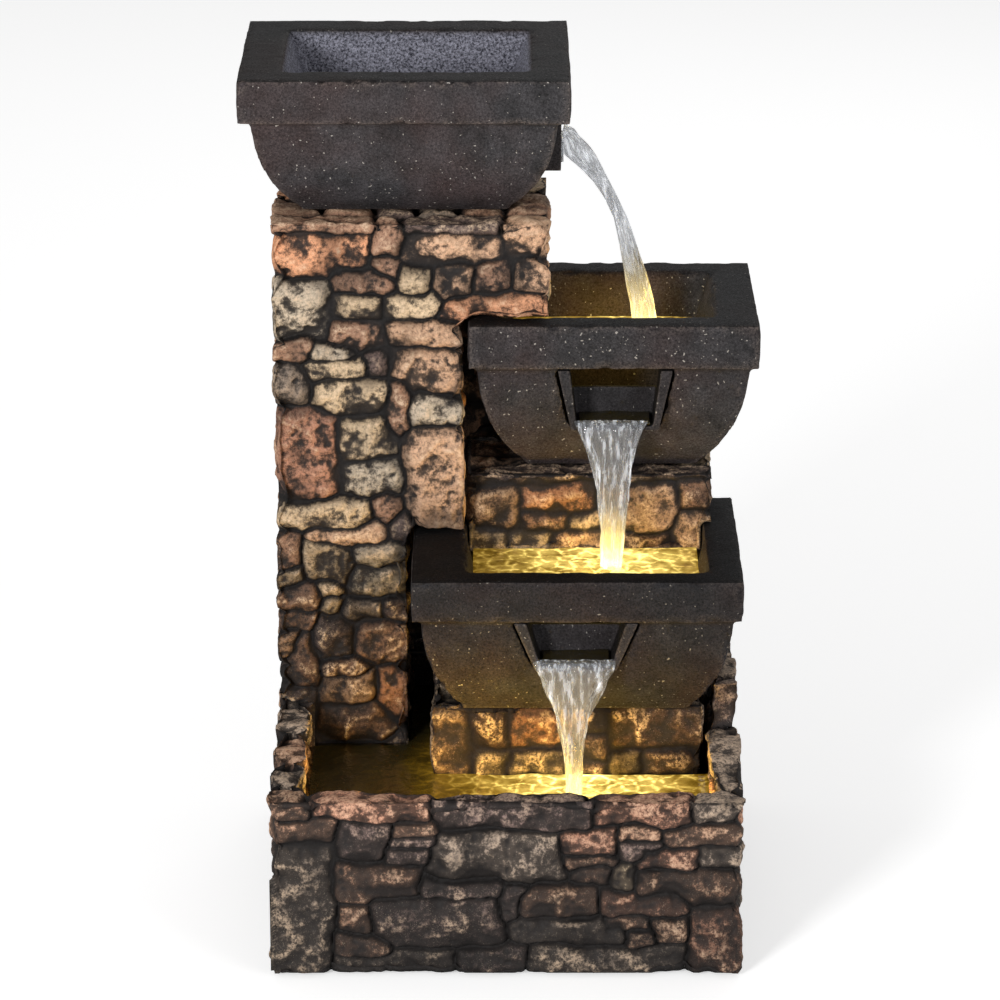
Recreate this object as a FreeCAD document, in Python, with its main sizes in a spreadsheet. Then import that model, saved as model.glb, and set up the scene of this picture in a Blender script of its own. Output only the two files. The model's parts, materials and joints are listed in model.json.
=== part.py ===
"""Tabletop water fountain: a stone basin and pillar that carry three square bowls.

The water is pumped from the basin up a hose inside the pillar, and falls from bowl to bowl.
Millimetres, +Z up. The origin is the middle of the fountain's footprint, on the table.
The front, with the spouts of the two lower bowls, faces -Y. The pillar stands on the -X side.
"""
import FreeCAD, Part

import math
import os
from types import SimpleNamespace

import Sketcher

Vector = FreeCAD.Vector
document = FreeCAD.newDocument("fountain")

SIZES = {
    # basin
    "foot_height": 1.5, "base_left": -106.5, "base_right": 111.5, "base_front": -118.5, "base_back": 93.5,
    "rim_top": 87.5, "floor_top": 9.5, "rim_front": 17, "rim_left": 18, "rim_right": 16.4, "rim_back": 10,
    "chamber_wall": 6, "corner_round": 6, "shoulder_front": -20, "shoulder_left": 99, "shoulder_top": 106,
    # pillar: a foot, a wider column and a head that is wider still, all hollow, with backings by the bowls
    "pillar_front": 5.5, "pillar_wall": 8, "foot_right": -42.5, "column_bottom": 172, "column_right": -16.5,
    "head_bottom": 274.5, "head_right": 23.5, "pillar_top": 322,
    "door_left": -94, "door_right": -56, "door_bottom": 100, "door_top": 168, "door_ledge": 4,
    "door_thick": 3, "door_gap": 0.4, "door_corner": 2.5, "rib_inset": 3, "rib_wall": 2, "clip_half": 6,
    "finger_radius": 7, "backing_front": 60, "backing_right": 14,
    "gate_left": -82, "gate_right": -64, "gate_height": 16, "gate_front": 26, "gate_back": 62,
    "gate_tall": 24,
    # how far a cutting tool runs past the face that it opens, and the gap round a piece that drops in loosely
    "past": 1, "loose": 0.3, "snug": 0.2,
    # blocks under the lower and the middle bowl
    "block_wall": 7, "low_block_left": -33.3, "low_block_right": 94.6, "low_block_front": -32.5,
    "mid_block_left": -16.5, "mid_block_right": 100.5, "mid_block_front": 17.5, "seat_gap": 0.5,
    # lower bowl
    "lower_left": -41.5, "lower_right": 111.2, "lower_front": -60.5, "lower_back": 57.5,
    "lower_bottom": 100, "lower_top": 171.5, "lower_band": 21, "lower_lip": 4.5, "lower_foot": 24,
    "lower_rim_left": 26, "lower_rim_right": 16.7, "lower_rim_front": 15, "lower_rim_back": 42.5,
    "lower_floor": 109, "lower_slope": 15, "lower_shelf": 157,
    # middle bowl
    "middle_left": -15.7, "middle_right": 119.9, "middle_front": 1.5, "middle_back": 106.5,
    "middle_bottom": 197, "middle_top": 274, "middle_band": 22.3, "middle_lip": 4.5, "middle_foot": 28,
    "middle_rim_left": 15, "middle_rim_right": 20.4, "middle_rim_front": 15.7, "middle_rim_back": 16,
    "middle_floor": 206, "middle_slope": 22,
    # top bowl
    "upper_left": -120, "upper_right": 32, "upper_front": -1.5, "upper_back": 118.5,
    "upper_bottom": 322, "upper_top": 390.5, "upper_band": 21.5, "upper_lip": 6, "upper_foot": 28.7,
    "upper_rim_left": 20, "upper_rim_right": 18.5, "upper_rim_front": 19.4, "upper_rim_back": 20.6,
    "upper_floor": 332, "upper_slope": 28,
    # spouts: a sloping-sided trough with a thin lip
    "spout_depth": 20, "spout_cheek": 6, "spout_sill": 3, "spout_weir": 3, "spout_fit": 0.2,
    "spout_out": 2, "weir_height": 14, "channel_run": 12,
    "lower_spout_middle": 34.2, "lower_spout_top": 150.5, "lower_spout_lip": 129.5,
    "lower_spout_wide": 58, "lower_spout_narrow": 38,
    "middle_spout_middle": 52.8, "middle_spout_top": 251.7, "middle_spout_lip": 224.5,
    "middle_spout_wide": 54, "middle_spout_narrow": 41,
    "upper_spout_middle": 58.5, "upper_spout_top": 369, "upper_spout_lip": 339,
    "upper_spout_wide": 44, "upper_spout_narrow": 32,
    # pump, standing in the chamber at the pillar's foot
    "pump_left": -96, "pump_right": -56, "pump_front": 34, "pump_back": 74, "pump_bottom": 14,
    "pump_top": 52, "pump_axis_height": 33, "pump_cover": 11, "pump_round": 4, "pump_shell": 2.5,
    "rotor_radius": 7, "rotor_well": 7.6, "impeller_radius": 11, "volute_radius": 13, "volute_depth": 9,
    "shaft_radius": 1, "cup_radius": 5.5, "outlet_across": -76, "outlet_along": 39,
    "outlet_radius": 4, "outlet_bore": 2.75, "outlet_top": 70, "dial_radius": 6.5,
    "dial_stem": 2, "dial_offset": 11, "rotor_length": 25, "bush_length": 1.5, "seal_depth": 1.1,
    # riser hose and the fitting that it ends in
    "hose_radius": 5.5, "hose_bore": 4.05, "hose_start": 57, "hose_end": 305,
    "inlet_across": -43.5, "inlet_along": 58.5, "inlet_radius": 6, "inlet_flange": 11,
    # underwater lights, their leads and the cord gland
    "lamp_radius": 13, "lamp_height": 8, "lamp_wall": 2, "lens_radius": 10.6, "lead_radius": 1.5,
    "cord_radius": 2,
    "lead_hole": 2.6, "base_lamp_along": -56, "low_lamp_across": 34.2, "low_lamp_along": -15,
    "mid_lamp_across": 52, "mid_lamp_along": 54, "low_lead_along": 70, "low_lead_up": 86,
    "mid_lead_along": 68, "mid_lead_up": 182, "gland_across": -64, "gland_up": 76, "gland_radius": 4.5,
    "foot_pad_radius": 8, "foot_pad_inset": 16,
}


class Sized(float):
    """A length that remembers the spreadsheet formula that it comes from."""

    def __new__(cls, value, formula):
        number = float.__new__(cls, value)
        number.formula = formula
        return number

    def __add__(self, other):
        return Sized(float(self) + float(other), f"({self.formula} + {formula_of(other)})")

    def __radd__(self, other):
        return Sized(float(other) + float(self), f"({formula_of(other)} + {self.formula})")

    def __sub__(self, other):
        return Sized(float(self) - float(other), f"({self.formula} - {formula_of(other)})")

    def __rsub__(self, other):
        return Sized(float(other) - float(self), f"({formula_of(other)} - {self.formula})")

    def __mul__(self, other):
        return Sized(float(self) * float(other), f"({self.formula} * {formula_of(other)})")

    def __rmul__(self, other):
        return Sized(float(other) * float(self), f"({formula_of(other)} * {self.formula})")

    def __truediv__(self, other):
        return Sized(float(self) / float(other), f"({self.formula} / {formula_of(other)})")

    def __neg__(self):
        return Sized(-float(self), f"(0 - {self.formula})")


def formula_of(number):
    return number.formula if isinstance(number, Sized) else repr(round(float(number), 6))


def make_sheet():
    """The driving dimensions, one row each: its name, then its value with that name as alias."""
    sheet = document.addObject("Spreadsheet::Sheet", "Sizes")
    for row, (name, value) in enumerate(SIZES.items(), start=1):
        sheet.set(f"A{row}", name)
        sheet.set(f"B{row}", str(value))
        sheet.setAlias(f"B{row}", name)
    document.recompute()
    return SimpleNamespace(**{name: Sized(value, f"Sizes.{name}") for name, value in SIZES.items()})


size = make_sheet()
nodes = []


def group_sizes(prefix):
    """The sizes whose names start with the prefix, under the rest of their names."""
    start = prefix + "_"
    return SimpleNamespace(**{k[len(start):]: getattr(size, k) for k in SIZES if k.startswith(start)})


def bind(thing, name, value):
    """Set a property, and tie it to the sheet where the value comes from there."""
    if isinstance(value, Sized):
        thing.setExpression(name, value.formula)
    elif name.startswith("Placement"):
        thing.setExpression(name, repr(float(value)))
    else:
        setattr(thing, name, float(value))


def place(thing, point, rotation=None):
    if rotation is not None:
        thing.Placement = FreeCAD.Placement(Vector(0, 0, 0), rotation)
    for axis, value in zip("xyz", point):
        bind(thing, f"Placement.Base.{axis}", value)
    return thing


def node(thing, label):
    """Keep this object as one of the fountain's pieces."""
    thing.Label = label
    nodes.append(thing)
    return thing


def box(name, across, along, up):
    """A block between two places on each axis."""
    block = document.addObject("Part::Box", name)
    for side, (low, high) in zip(("Length", "Width", "Height"), (across, along, up)):
        bind(block, side, high - low)
    return place(block, (across[0], along[0], up[0]))


ALONG = {"x": FreeCAD.Rotation(Vector(0, 1, 0), 90), "y": FreeCAD.Rotation(Vector(1, 0, 0), -90), "z": None}


def cylinder(name, radius, low_end, length, axis="z"):
    rod = document.addObject("Part::Cylinder", name)
    bind(rod, "Radius", radius)
    bind(rod, "Height", length)
    return place(rod, low_end, ALONG[axis])


def fuse(name, parts):
    joined = document.addObject("Part::MultiFuse", name)
    joined.Shapes = parts
    return joined


def common(name, parts):
    shared = document.addObject("Part::MultiCommon", name)
    shared.Shapes = parts
    return shared


def cut(name, solid, tools):
    """The solid less each tool in turn."""
    for number, tool in enumerate(tools, start=1):
        less = document.addObject("Part::Cut", name if number == len(tools) else f"{name}_{number}")
        less.Base = solid
        less.Tool = tool
        solid = less
    return solid


def rounded_rectangle(across, up, radius):
    """Outline of a rectangle with round corners."""
    (left, right), (low, high) = across, up
    return [
        (left + radius, low, radius), (right - radius, low),
        (right, low + radius, radius), (right, high - radius),
        (right - radius, high, radius), (left + radius, high),
        (left, high - radius, radius), (left, low + radius),
    ]


def arc_centre(start, end, radius):
    """Centre of the anticlockwise arc of this radius from start to end."""
    across = end[0] - start[0]
    up = end[1] - start[1]
    chord = math.hypot(across, up)
    rise = math.sqrt(max(float(radius) ** 2 - chord ** 2 / 4, 0.0))
    return Vector((start[0] + end[0]) / 2 - up / chord * rise,
                  (start[1] + end[1]) / 2 + across / chord * rise, 0)


def draw_outline(sketch, outline):
    """Add one closed anticlockwise outline: a third value on a point bends the edge that ends there."""
    count = len(outline)
    first = sketch.GeometryCount
    for i, point in enumerate(outline):
        following = outline[(i + 1) % count]
        start = Vector(float(point[0]), float(point[1]), 0)
        end = Vector(float(following[0]), float(following[1]), 0)
        if len(following) == 2:
            sketch.addGeometry(Part.LineSegment(start, end))
            continue
        radius = following[2]
        centre = arc_centre(start, end, radius)
        circle = Part.Circle(centre, Vector(0, 0, 1), float(radius))
        turn_from = math.atan2(start.y - centre.y, start.x - centre.x)
        turn_to = math.atan2(end.y - centre.y, end.x - centre.x)
        arc = sketch.addGeometry(Part.ArcOfCircle(circle, turn_from, turn_to))
        add_size(sketch, "Radius", arc, radius)
    for i, point in enumerate(outline):
        edge = first + i
        sketch.addConstraint(Sketcher.Constraint("Coincident", edge, 2, first + (i + 1) % count, 1))
        for kind, value in zip(("DistanceX", "DistanceY"), point):
            add_size(sketch, kind, edge, value)


def add_size(sketch, kind, edge, value):
    """A size of the sketch: the radius of an edge, or how far its start is from the origin."""
    if kind == "Radius":
        index = sketch.addConstraint(Sketcher.Constraint("Radius", edge, float(value)))
    elif abs(float(value)) < 1e-9:
        held = -2 if kind == "DistanceX" else -1
        sketch.addConstraint(Sketcher.Constraint("PointOnObject", edge, 1, held))
        return
    else:
        index = sketch.addConstraint(Sketcher.Constraint(kind, -1, 1, edge, 1, float(value)))
    if isinstance(value, Sized):
        sketch.setExpression(f"Constraints[{index}]", value.formula)


def add_sketch(body, plane, outlines, offset=0.0):
    sketch = body.newObject("Sketcher::SketchObject", body.Name + "_sketch")
    flat = [feature for feature in body.Origin.OriginFeatures if feature.Role == plane][0]
    sketch.AttachmentSupport = [(flat, "")]
    sketch.MapMode = "FlatFace"
    lift = offset if isinstance(offset, Sized) else Sized(offset, repr(offset))
    bind(sketch, "AttachmentOffset.Base.z", lift)
    for outline in outlines:
        draw_outline(sketch, outline)
    return sketch


def extruded(name, axis, outlines, low, high):
    """A body padded along an axis from low to high. Further outlines inside the first are holes.

    Outlines are drawn as (X, Z) along y, as (Y, Z) along x and as (X, Y) along z.
    """
    body = document.addObject("PartDesign::Body", name)
    plane = {"x": "YZ_Plane", "y": "XZ_Plane", "z": "XY_Plane"}[axis]
    sketch = add_sketch(body, plane, outlines, -low if axis == "y" else low)
    pad = body.newObject("PartDesign::Pad", name + "_pad")
    pad.Profile = sketch
    bind(pad, "Length", high - low)
    pad.Reversed = axis == "y"
    return body


def turned(name, outline, point=(0, 0, 0), axis="z"):
    """A body turned about an axis. The outline is (radius, distance along the axis)."""
    body = document.addObject("PartDesign::Body", name)
    sketch = add_sketch(body, "XZ_Plane", [outline])
    spin = body.newObject("PartDesign::Revolution", name + "_turn")
    spin.Profile = sketch
    spin.ReferenceAxis = (sketch, ["V_Axis"])
    spin.Angle = 360
    return place(body, point, ALONG[axis])


def route_path(points):
    """Straight runs joined by tangent arcs, each as wide as its two runs allow."""
    points = [Vector(*point) for point in points]
    edges = []
    start = points[0]
    for before, corner, after in zip(points, points[1:], points[2:]):
        back = (before - corner).normalize()
        ahead = (after - corner).normalize()
        reach = 0.45 * min((before - corner).Length, (after - corner).Length)
        half_turn = (math.pi - back.getAngle(ahead)) / 2
        radius = reach / math.tan(half_turn)
        arc_start = corner + back * reach
        arc_end = corner + ahead * reach
        middle = corner + (back + ahead).normalize() * (radius / math.cos(half_turn) - radius)
        edges.append(Part.LineSegment(start, arc_start).toShape())
        edges.append(Part.Arc(arc_start, middle, arc_end).toShape())
        start = arc_end
    edges.append(Part.LineSegment(start, points[-1]).toShape())
    return Part.Wire(edges)


def tube(label, points, radius, bore=0.0):
    """A hose or lead swept along its route."""
    path = route_path(points)
    direction = Vector(*points[1]) - Vector(*points[0])
    swept = []
    for width in (radius, bore):
        if width:
            ring = Part.Wire([Part.makeCircle(float(width), Vector(*points[0]), direction)])
            swept.append(path.makePipeShell([ring], True, True))
    piece = document.addObject("Part::Feature", label)
    piece.Shape = swept[0].cut(swept[1]) if bore else swept[0]
    section = math.pi * (float(radius) ** 2 - float(bore) ** 2)
    radii = [round(edge.Curve.Radius, 1) for edge in path.Edges if hasattr(edge.Curve, "Radius")]
    print(label, "length", round(path.Length, 1), "radii", radii, "volume over section times length",
          round(piece.Shape.Volume / section / path.Length, 3))
    return node(piece, label)


def make_base():
    """Basin with thick walls, thinner beside the pump chamber, and a shoulder behind the right rim."""
    s = size
    footprint = rounded_rectangle((s.base_left, s.base_right), (s.base_front, s.base_back), s.corner_round)
    outer = extruded("base_outer", "z", [footprint], s.foot_height, s.rim_top)
    shoulder = box("base_shoulder", (s.shoulder_left, s.base_right), (s.shoulder_front, s.base_back),
                   (s.rim_top, s.shoulder_top))
    inner_back = s.base_back - s.rim_back
    water = box("base_water", (s.base_left + s.rim_left, s.base_right - s.rim_right),
                (s.base_front + s.rim_front, inner_back), (s.floor_top, s.rim_top + s.past))
    chamber = box("base_chamber", (s.base_left + s.chamber_wall, s.base_left + s.rim_left + s.past),
                  (s.pillar_front, inner_back), (s.floor_top, s.rim_top + s.past))
    tools = [water, chamber]
    tools.append(cylinder("base_gland_hole", s.gland_radius,
                          (s.gland_across, inner_back - s.past, s.gland_up),
                          s.rim_back + 2 * s.past, "y"))
    for label, across, along in foot_places():
        tools.append(cylinder(f"base_{label}_hollow", s.foot_pad_radius + s.snug,
                              (across, along, s.foot_height),
                              s.foot_height))
    node(cut("base_cut", fuse("base_solid", [outer, shoulder]), tools), "base_basin")


def foot_places():
    inset = size.foot_pad_inset
    for side, across in (("left", size.base_left + inset), ("right", size.base_right - inset)):
        for end, along in (("front", size.base_front + inset), ("back", size.base_back - inset)):
            yield f"foot_pad_{end}_{side}", across, along


def make_feet():
    """Rubber pads, let halfway into the underside."""
    r = size.foot_pad_radius
    for label, across, along in foot_places():
        top = 2 * size.foot_height
        outline = [(0, 0), (r - 1, 0), (r, 1), (r, top), (0, top)]
        node(turned(label + "_body", outline, (across, along, 0)), label)


def make_backing():
    """Stone that closes the wedge between the column and the middle bowl's body, at the back."""
    s = size
    b = group_sizes("middle")
    gap = s.seat_gap
    rib = box("backing_rib", (s.column_right - s.past, s.backing_right), (s.backing_front, s.base_back),
              (b.bottom + gap, b.top - b.band - gap))
    across = (b.left - gap, b.right + gap)
    along = (b.front - gap, b.back + gap)
    from_front = extruded("backing_front_view", "y", [bowl_profile(*across, b)], *along)
    from_side = extruded("backing_side_view", "x", [bowl_profile(*along, b)], *across)
    return cut("backing_cut", rib, [common("backing_clearance", [from_front, from_side])])


def make_pillar():
    """Hollow pillar. Its foot reaches down into the basin in front and on the right only."""
    s = size
    wall = s.pillar_wall
    depth = (s.pillar_front, s.base_back)
    steps = [
        box("pillar_foot", (s.base_left, s.foot_right), depth, (s.rim_top, s.column_bottom)),
        box("pillar_column", (s.base_left, s.column_right), depth, (s.column_bottom, s.head_bottom)),
        box("pillar_head", (s.base_left, s.head_right), depth, (s.head_bottom, s.pillar_top)),
        box("pillar_skirt_front", (s.base_left + s.chamber_wall + s.loose, s.foot_right),
            (s.pillar_front + s.loose, s.pillar_front + wall), (s.floor_top, s.rim_top)),
        box("pillar_skirt_right", (s.foot_right - wall, s.foot_right),
            (s.pillar_front + s.loose, s.base_back - s.rim_back - s.loose), (s.floor_top, s.rim_top)),
        make_backing(),
        box("pillar_low_backing", (s.foot_right - s.past, s.column_right),
            (s.base_back - s.rim_back, s.base_back),
            (s.rim_top, s.column_bottom + s.past)),
    ]
    inside = (s.pillar_front + wall, s.base_back - wall)
    roof = s.pillar_top - wall
    hollows = [
        box("pillar_shaft", (s.base_left + wall, s.foot_right - wall), inside, (s.rim_top - s.past, roof)),
        box("pillar_column_hollow", (s.foot_right - wall - s.past, s.column_right - wall), inside,
            (s.column_bottom + wall, roof)),
        box("pillar_head_hollow", (s.column_right - wall - s.past, s.head_right - wall), inside,
            (s.head_bottom + wall, roof)),
        box("pillar_gate_front", (s.gate_left, s.gate_right),
            (s.pillar_front - s.past, s.pillar_front + wall + s.past),
            (s.floor_top - s.past, s.floor_top + s.gate_height)),
        box("pillar_gate_right", (s.foot_right - wall - s.past, s.foot_right + s.past),
            (s.gate_front, s.gate_back),
            (s.floor_top - s.past, s.floor_top + s.gate_tall)),
        cylinder("pillar_inlet_hole", s.inlet_radius + s.snug, (s.inlet_across, s.inlet_along, roof - s.past),
                 wall + 2 * s.past),
    ]
    doorway = box("pillar_doorway", (s.door_left, s.door_right),
                  (s.base_back - wall - s.past, s.base_back + s.past),
                  (s.door_bottom, s.door_top))
    ledge = box("pillar_door_ledge", (s.door_left - s.door_ledge, s.door_right + s.door_ledge),
                (s.base_back - s.door_thick - s.snug, s.base_back + s.past),
                (s.door_bottom - s.door_ledge, s.door_top + s.door_ledge))
    finger_place = ((s.door_left + s.door_right) / 2, s.base_back - 5.5, s.door_top + s.door_ledge)
    finger = cylinder("pillar_finger_dip", s.finger_radius, finger_place, s.finger_radius, "y")
    leads = [
        cylinder("pillar_low_lead_hole", s.lead_hole,
                 (s.foot_right - wall - s.past, s.low_lead_along, s.low_lead_up), wall + 2 * s.past, "x"),
        cylinder("pillar_mid_lead_hole", s.lead_hole,
                 (s.column_right - wall - s.past, s.mid_lead_along, s.mid_lead_up), wall + 2 * s.past, "x"),
    ]
    node(cut("pillar_cut", fuse("pillar_solid", steps), hollows + [doorway, ledge, finger] + leads),
         "stone_pillar")


def make_door():
    """Push-fit panel in the pillar's back, with two spring clips inside its side edges."""
    s = size
    edge = s.door_ledge - s.door_gap
    left = s.door_left - edge
    right = s.door_right + edge
    low = s.door_bottom - edge
    high = s.door_top + edge
    back = s.base_back - 0.2
    front = back - s.door_thick
    plate = extruded("door_plate", "y", [rounded_rectangle((left, right), (low, high), s.door_corner)],
                     front, back)
    inset = s.rib_inset
    rib = box("door_rib", (s.door_left + inset, s.door_right - inset), (front - s.rib_wall, front),
              (s.door_bottom + inset, s.door_top - inset))
    inset = s.rib_inset + s.rib_wall
    core = box("door_rib_hollow", (s.door_left + inset, s.door_right - inset),
               (front - s.rib_wall - s.past, front), (s.door_bottom + inset, s.door_top - inset))
    node(fuse("door_solid", [plate, cut("door_ring", rib, [core])]), "rear_access_panel")
    middle = (s.door_bottom + s.door_top) / 2
    for label, wall_face, side in (("left", s.door_left, 1), ("right", s.door_right, -1)):
        rib_face = wall_face + s.rib_inset * side
        crest = wall_face + 0.5 * side
        outline = [(rib_face, front), (rib_face - 0.6 * side, front), (crest, front - 4), (crest, front - 5),
                   (crest + 0.6 * side, front - 5), (crest + 0.6 * side, front - 4),
                   (rib_face - 0.1 * side, front - 1.2)]
        if side > 0:
            outline.reverse()
        clip = extruded(f"door_clip_{label}", "z", [outline], middle - s.clip_half, middle + s.clip_half)
        node(clip, f"panel_clip_{label}")


def make_blocks():
    """Hollow stone blocks: one stands on the basin's floor, one on the lower bowl's shelf."""
    s = size
    wall = s.block_wall
    back = s.base_back - s.rim_back - s.seat_gap
    riser_front = s.lower_back + s.seat_gap
    low = [
        box("low_block_front_part", (s.low_block_left, s.low_block_right), (s.low_block_front, back),
            (s.floor_top, s.lower_bottom)),
        box("low_block_riser", (s.low_block_left, s.low_block_right), (riser_front, back),
            (s.lower_bottom, s.lower_shelf - s.seat_gap)),
    ]
    low_hollow = [
        box("low_block_hollow", (s.low_block_left + wall, s.low_block_right - wall),
            (s.low_block_front + wall, back - wall), (s.floor_top - s.past, s.lower_bottom - wall)),
        box("low_riser_hollow", (s.low_block_left + wall, s.low_block_right - wall),
            (riser_front + wall, back - wall), (s.lower_bottom - wall - s.past, s.lower_shelf - wall)),
        cylinder("low_block_lamp_hole", s.lead_hole,
                 (s.low_lamp_across, s.low_lamp_along, s.lower_bottom - wall - s.past), wall + 2 * s.past),
        cylinder("low_block_side_hole", s.lead_hole,
                 (s.low_block_left - s.past, s.low_lead_along, s.low_lead_up),
                 wall + 2 * s.past, "x"),
        box("low_block_gate", (s.low_block_left - s.past, s.low_block_left + wall + s.past), (0, 30),
            (s.floor_top - s.past, s.floor_top + s.gate_height)),
    ]
    node(cut("low_block_cut", fuse("low_block_solid", low), low_hollow), "lower_bowl_support")
    b = group_sizes("lower")
    foot_left = b.left + b.rim_left + s.seat_gap
    foot_right = b.right - b.rim_right - s.seat_gap
    mid = [
        box("mid_block_foot", (foot_left, foot_right), (s.mid_block_front, back),
            (b.shelf, b.top + s.seat_gap)),
        box("mid_block_top", (s.mid_block_left, s.mid_block_right), (s.mid_block_front, s.base_back),
            (b.top + s.seat_gap, s.middle_bottom)),
    ]
    mid_hollow = [
        box("mid_block_hollow", (foot_left + wall, foot_right - wall),
            (s.mid_block_front + wall, back - wall), (b.shelf - s.past, s.middle_bottom - wall)),
        cylinder("mid_block_lamp_hole", s.lead_hole,
                 (s.mid_lamp_across, s.mid_lamp_along, s.middle_bottom - wall - s.past), wall + 2 * s.past),
        cylinder("mid_block_side_hole", s.lead_hole,
                 (s.mid_block_left - s.past, s.mid_lead_along, s.mid_lead_up),
                 foot_left - s.mid_block_left + wall + 2 * s.past, "x"),
    ]
    node(cut("mid_block_cut", fuse("mid_block_solid", mid), mid_hollow), "middle_bowl_support")


def bowl_profile(low_side, high_side, b):
    """Bowl's body seen from one side: flat bottom, and flanks that bulge up to the rim band."""
    under = b.top - b.band
    spread = b.foot - b.lip
    height = under - b.bottom
    bulge = (spread * spread + height * height) / (2 * spread)
    return [
        (low_side + b.foot, b.bottom, bulge), (high_side - b.foot, b.bottom),
        (high_side - b.lip, under, bulge),
        (low_side + b.lip, under),
    ]


def frustum(name, low, high, bottom, top):
    """Hopper between a small rectangle at the bottom and a large one at the top."""
    wedge = document.addObject("Part::Wedge", name)
    (left, right), (front, back) = low
    for key, value in (("Xmin", left), ("Xmax", right), ("Zmin", -back), ("Zmax", -front)):
        bind(wedge, key, value)
    (left, right), (front, back) = high
    for key, value in (("X2min", left), ("X2max", right), ("Z2min", -back), ("Z2max", -front)):
        bind(wedge, key, value)
    bind(wedge, "Ymin", bottom)
    bind(wedge, "Ymax", top)
    wedge.Placement = FreeCAD.Placement(Vector(0, 0, 0), FreeCAD.Rotation(Vector(1, 0, 0), 90))
    return wedge


def spout_outline(wide, narrow, low, high):
    """Trapezium, wide at the top, about the middle of the spout."""
    return [(-narrow / 2, low), (narrow / 2, low), (wide / 2, high), (-wide / 2, high)]


def make_bowl(name, b, spout, spout_side, extra):
    """Square bowl: rim band, bulging body, hopper inside and a channel to its spout."""
    across = (b.left, b.right)
    along = (b.front, b.back)
    rim = box(f"{name}_rim", across, along, (b.top - b.band, b.top))
    from_front = extruded(f"{name}_front_view", "y", [bowl_profile(*across, b)], b.front, b.back)
    from_side = extruded(f"{name}_side_view", "x", [bowl_profile(*along, b)], b.left, b.right)
    body = common(f"{name}_body", [from_front, from_side])
    inner = ((b.left + b.rim_left, b.right - b.rim_right), (b.front + b.rim_front, b.back - b.rim_back))
    floor = tuple((low + b.slope, high - b.slope) for low, high in inner)
    hopper = frustum(f"{name}_hopper", floor, inner, b.floor, b.top)
    fit = size.spout_fit
    reach = size.spout_depth + b.slope + size.channel_run
    opening = spout_outline(spout.wide + 2 * fit, spout.narrow + 2 * fit, spout.lip - size.spout_sill - fit,
                            spout.top)
    channel = extruded(f"{name}_channel", "y", [opening], -2 * size.spout_out, reach)
    mouth = place_spout(channel, b, spout, spout_side)
    node(cut(f"{name}_cut", fuse(f"{name}_solid", [rim, body]), [hopper, mouth] + extra), f"{name}_bowl")


def place_spout(thing, b, spout, side):
    """Turn and move a spout, drawn about its own middle and running in along +Y, to its bowl's face."""
    if side == "front":
        return place(thing, (spout.middle, b.front + b.lip, 0))
    return place(thing, (b.right - b.lip, spout.middle, 0), FreeCAD.Rotation(Vector(0, 0, 1), 90))


def make_spout(name, b, spout, side):
    """Trough with sloping cheeks, a thin sill and a weir at its inner end."""
    s = size
    outer = spout_outline(spout.wide, spout.narrow, spout.lip - s.spout_sill, spout.top - s.spout_fit)
    inner = spout_outline(spout.wide - 2 * s.spout_cheek, spout.narrow - s.spout_cheek, spout.lip,
                          spout.top + s.past)
    inner_end = s.spout_depth - s.spout_out
    solid = extruded(f"{name}_spout_solid", "y", [outer], -s.spout_out, inner_end)
    trough = extruded(f"{name}_spout_trough", "y", [inner], -s.spout_out - s.past, inner_end - s.spout_weir)
    over = box(f"{name}_spout_over", (-spout.wide, spout.wide),
               (inner_end - s.spout_weir - s.past, s.spout_depth),
               (spout.lip + s.weir_height, spout.top + s.past))
    spout_piece = cut(f"{name}_spout_cut", solid, [trough, over])
    node(place_spout(spout_piece, b, spout, side), f"{name}_spout")


def make_bowls():
    s = size
    lower = group_sizes("lower")
    shelf = box("lower_shelf_cut", (lower.left + lower.rim_left, lower.right - lower.rim_right),
                (lower.back - lower.rim_back - lower.slope, lower.back + s.past),
                (lower.shelf, lower.top + s.past))
    lower_lead = cylinder("lower_lead_hole", s.lead_hole,
                          (s.low_lamp_across, s.low_lamp_along, lower.bottom - s.past),
                          lower.floor - lower.bottom + 2 * s.past)
    middle = group_sizes("middle")
    middle_lead = cylinder("middle_lead_hole", s.lead_hole,
                           (s.mid_lamp_across, s.mid_lamp_along, middle.bottom - s.past),
                           middle.floor - middle.bottom + 2 * s.past)
    upper = group_sizes("upper")
    inlet = cylinder("upper_inlet_hole", s.inlet_radius + s.snug,
                     (s.inlet_across, s.inlet_along, upper.bottom - s.past),
                     upper.floor - upper.bottom + 2 * s.past)
    for name, b, side, extra in (("lower", lower, "front", [shelf, lower_lead]),
                                 ("middle", middle, "front", [middle_lead]),
                                 ("upper", upper, "right", [inlet])):
        spout = group_sizes(f"{name}_spout")
        make_bowl(name, b, spout, side, extra)
        make_spout(name, b, spout, side)


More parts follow.
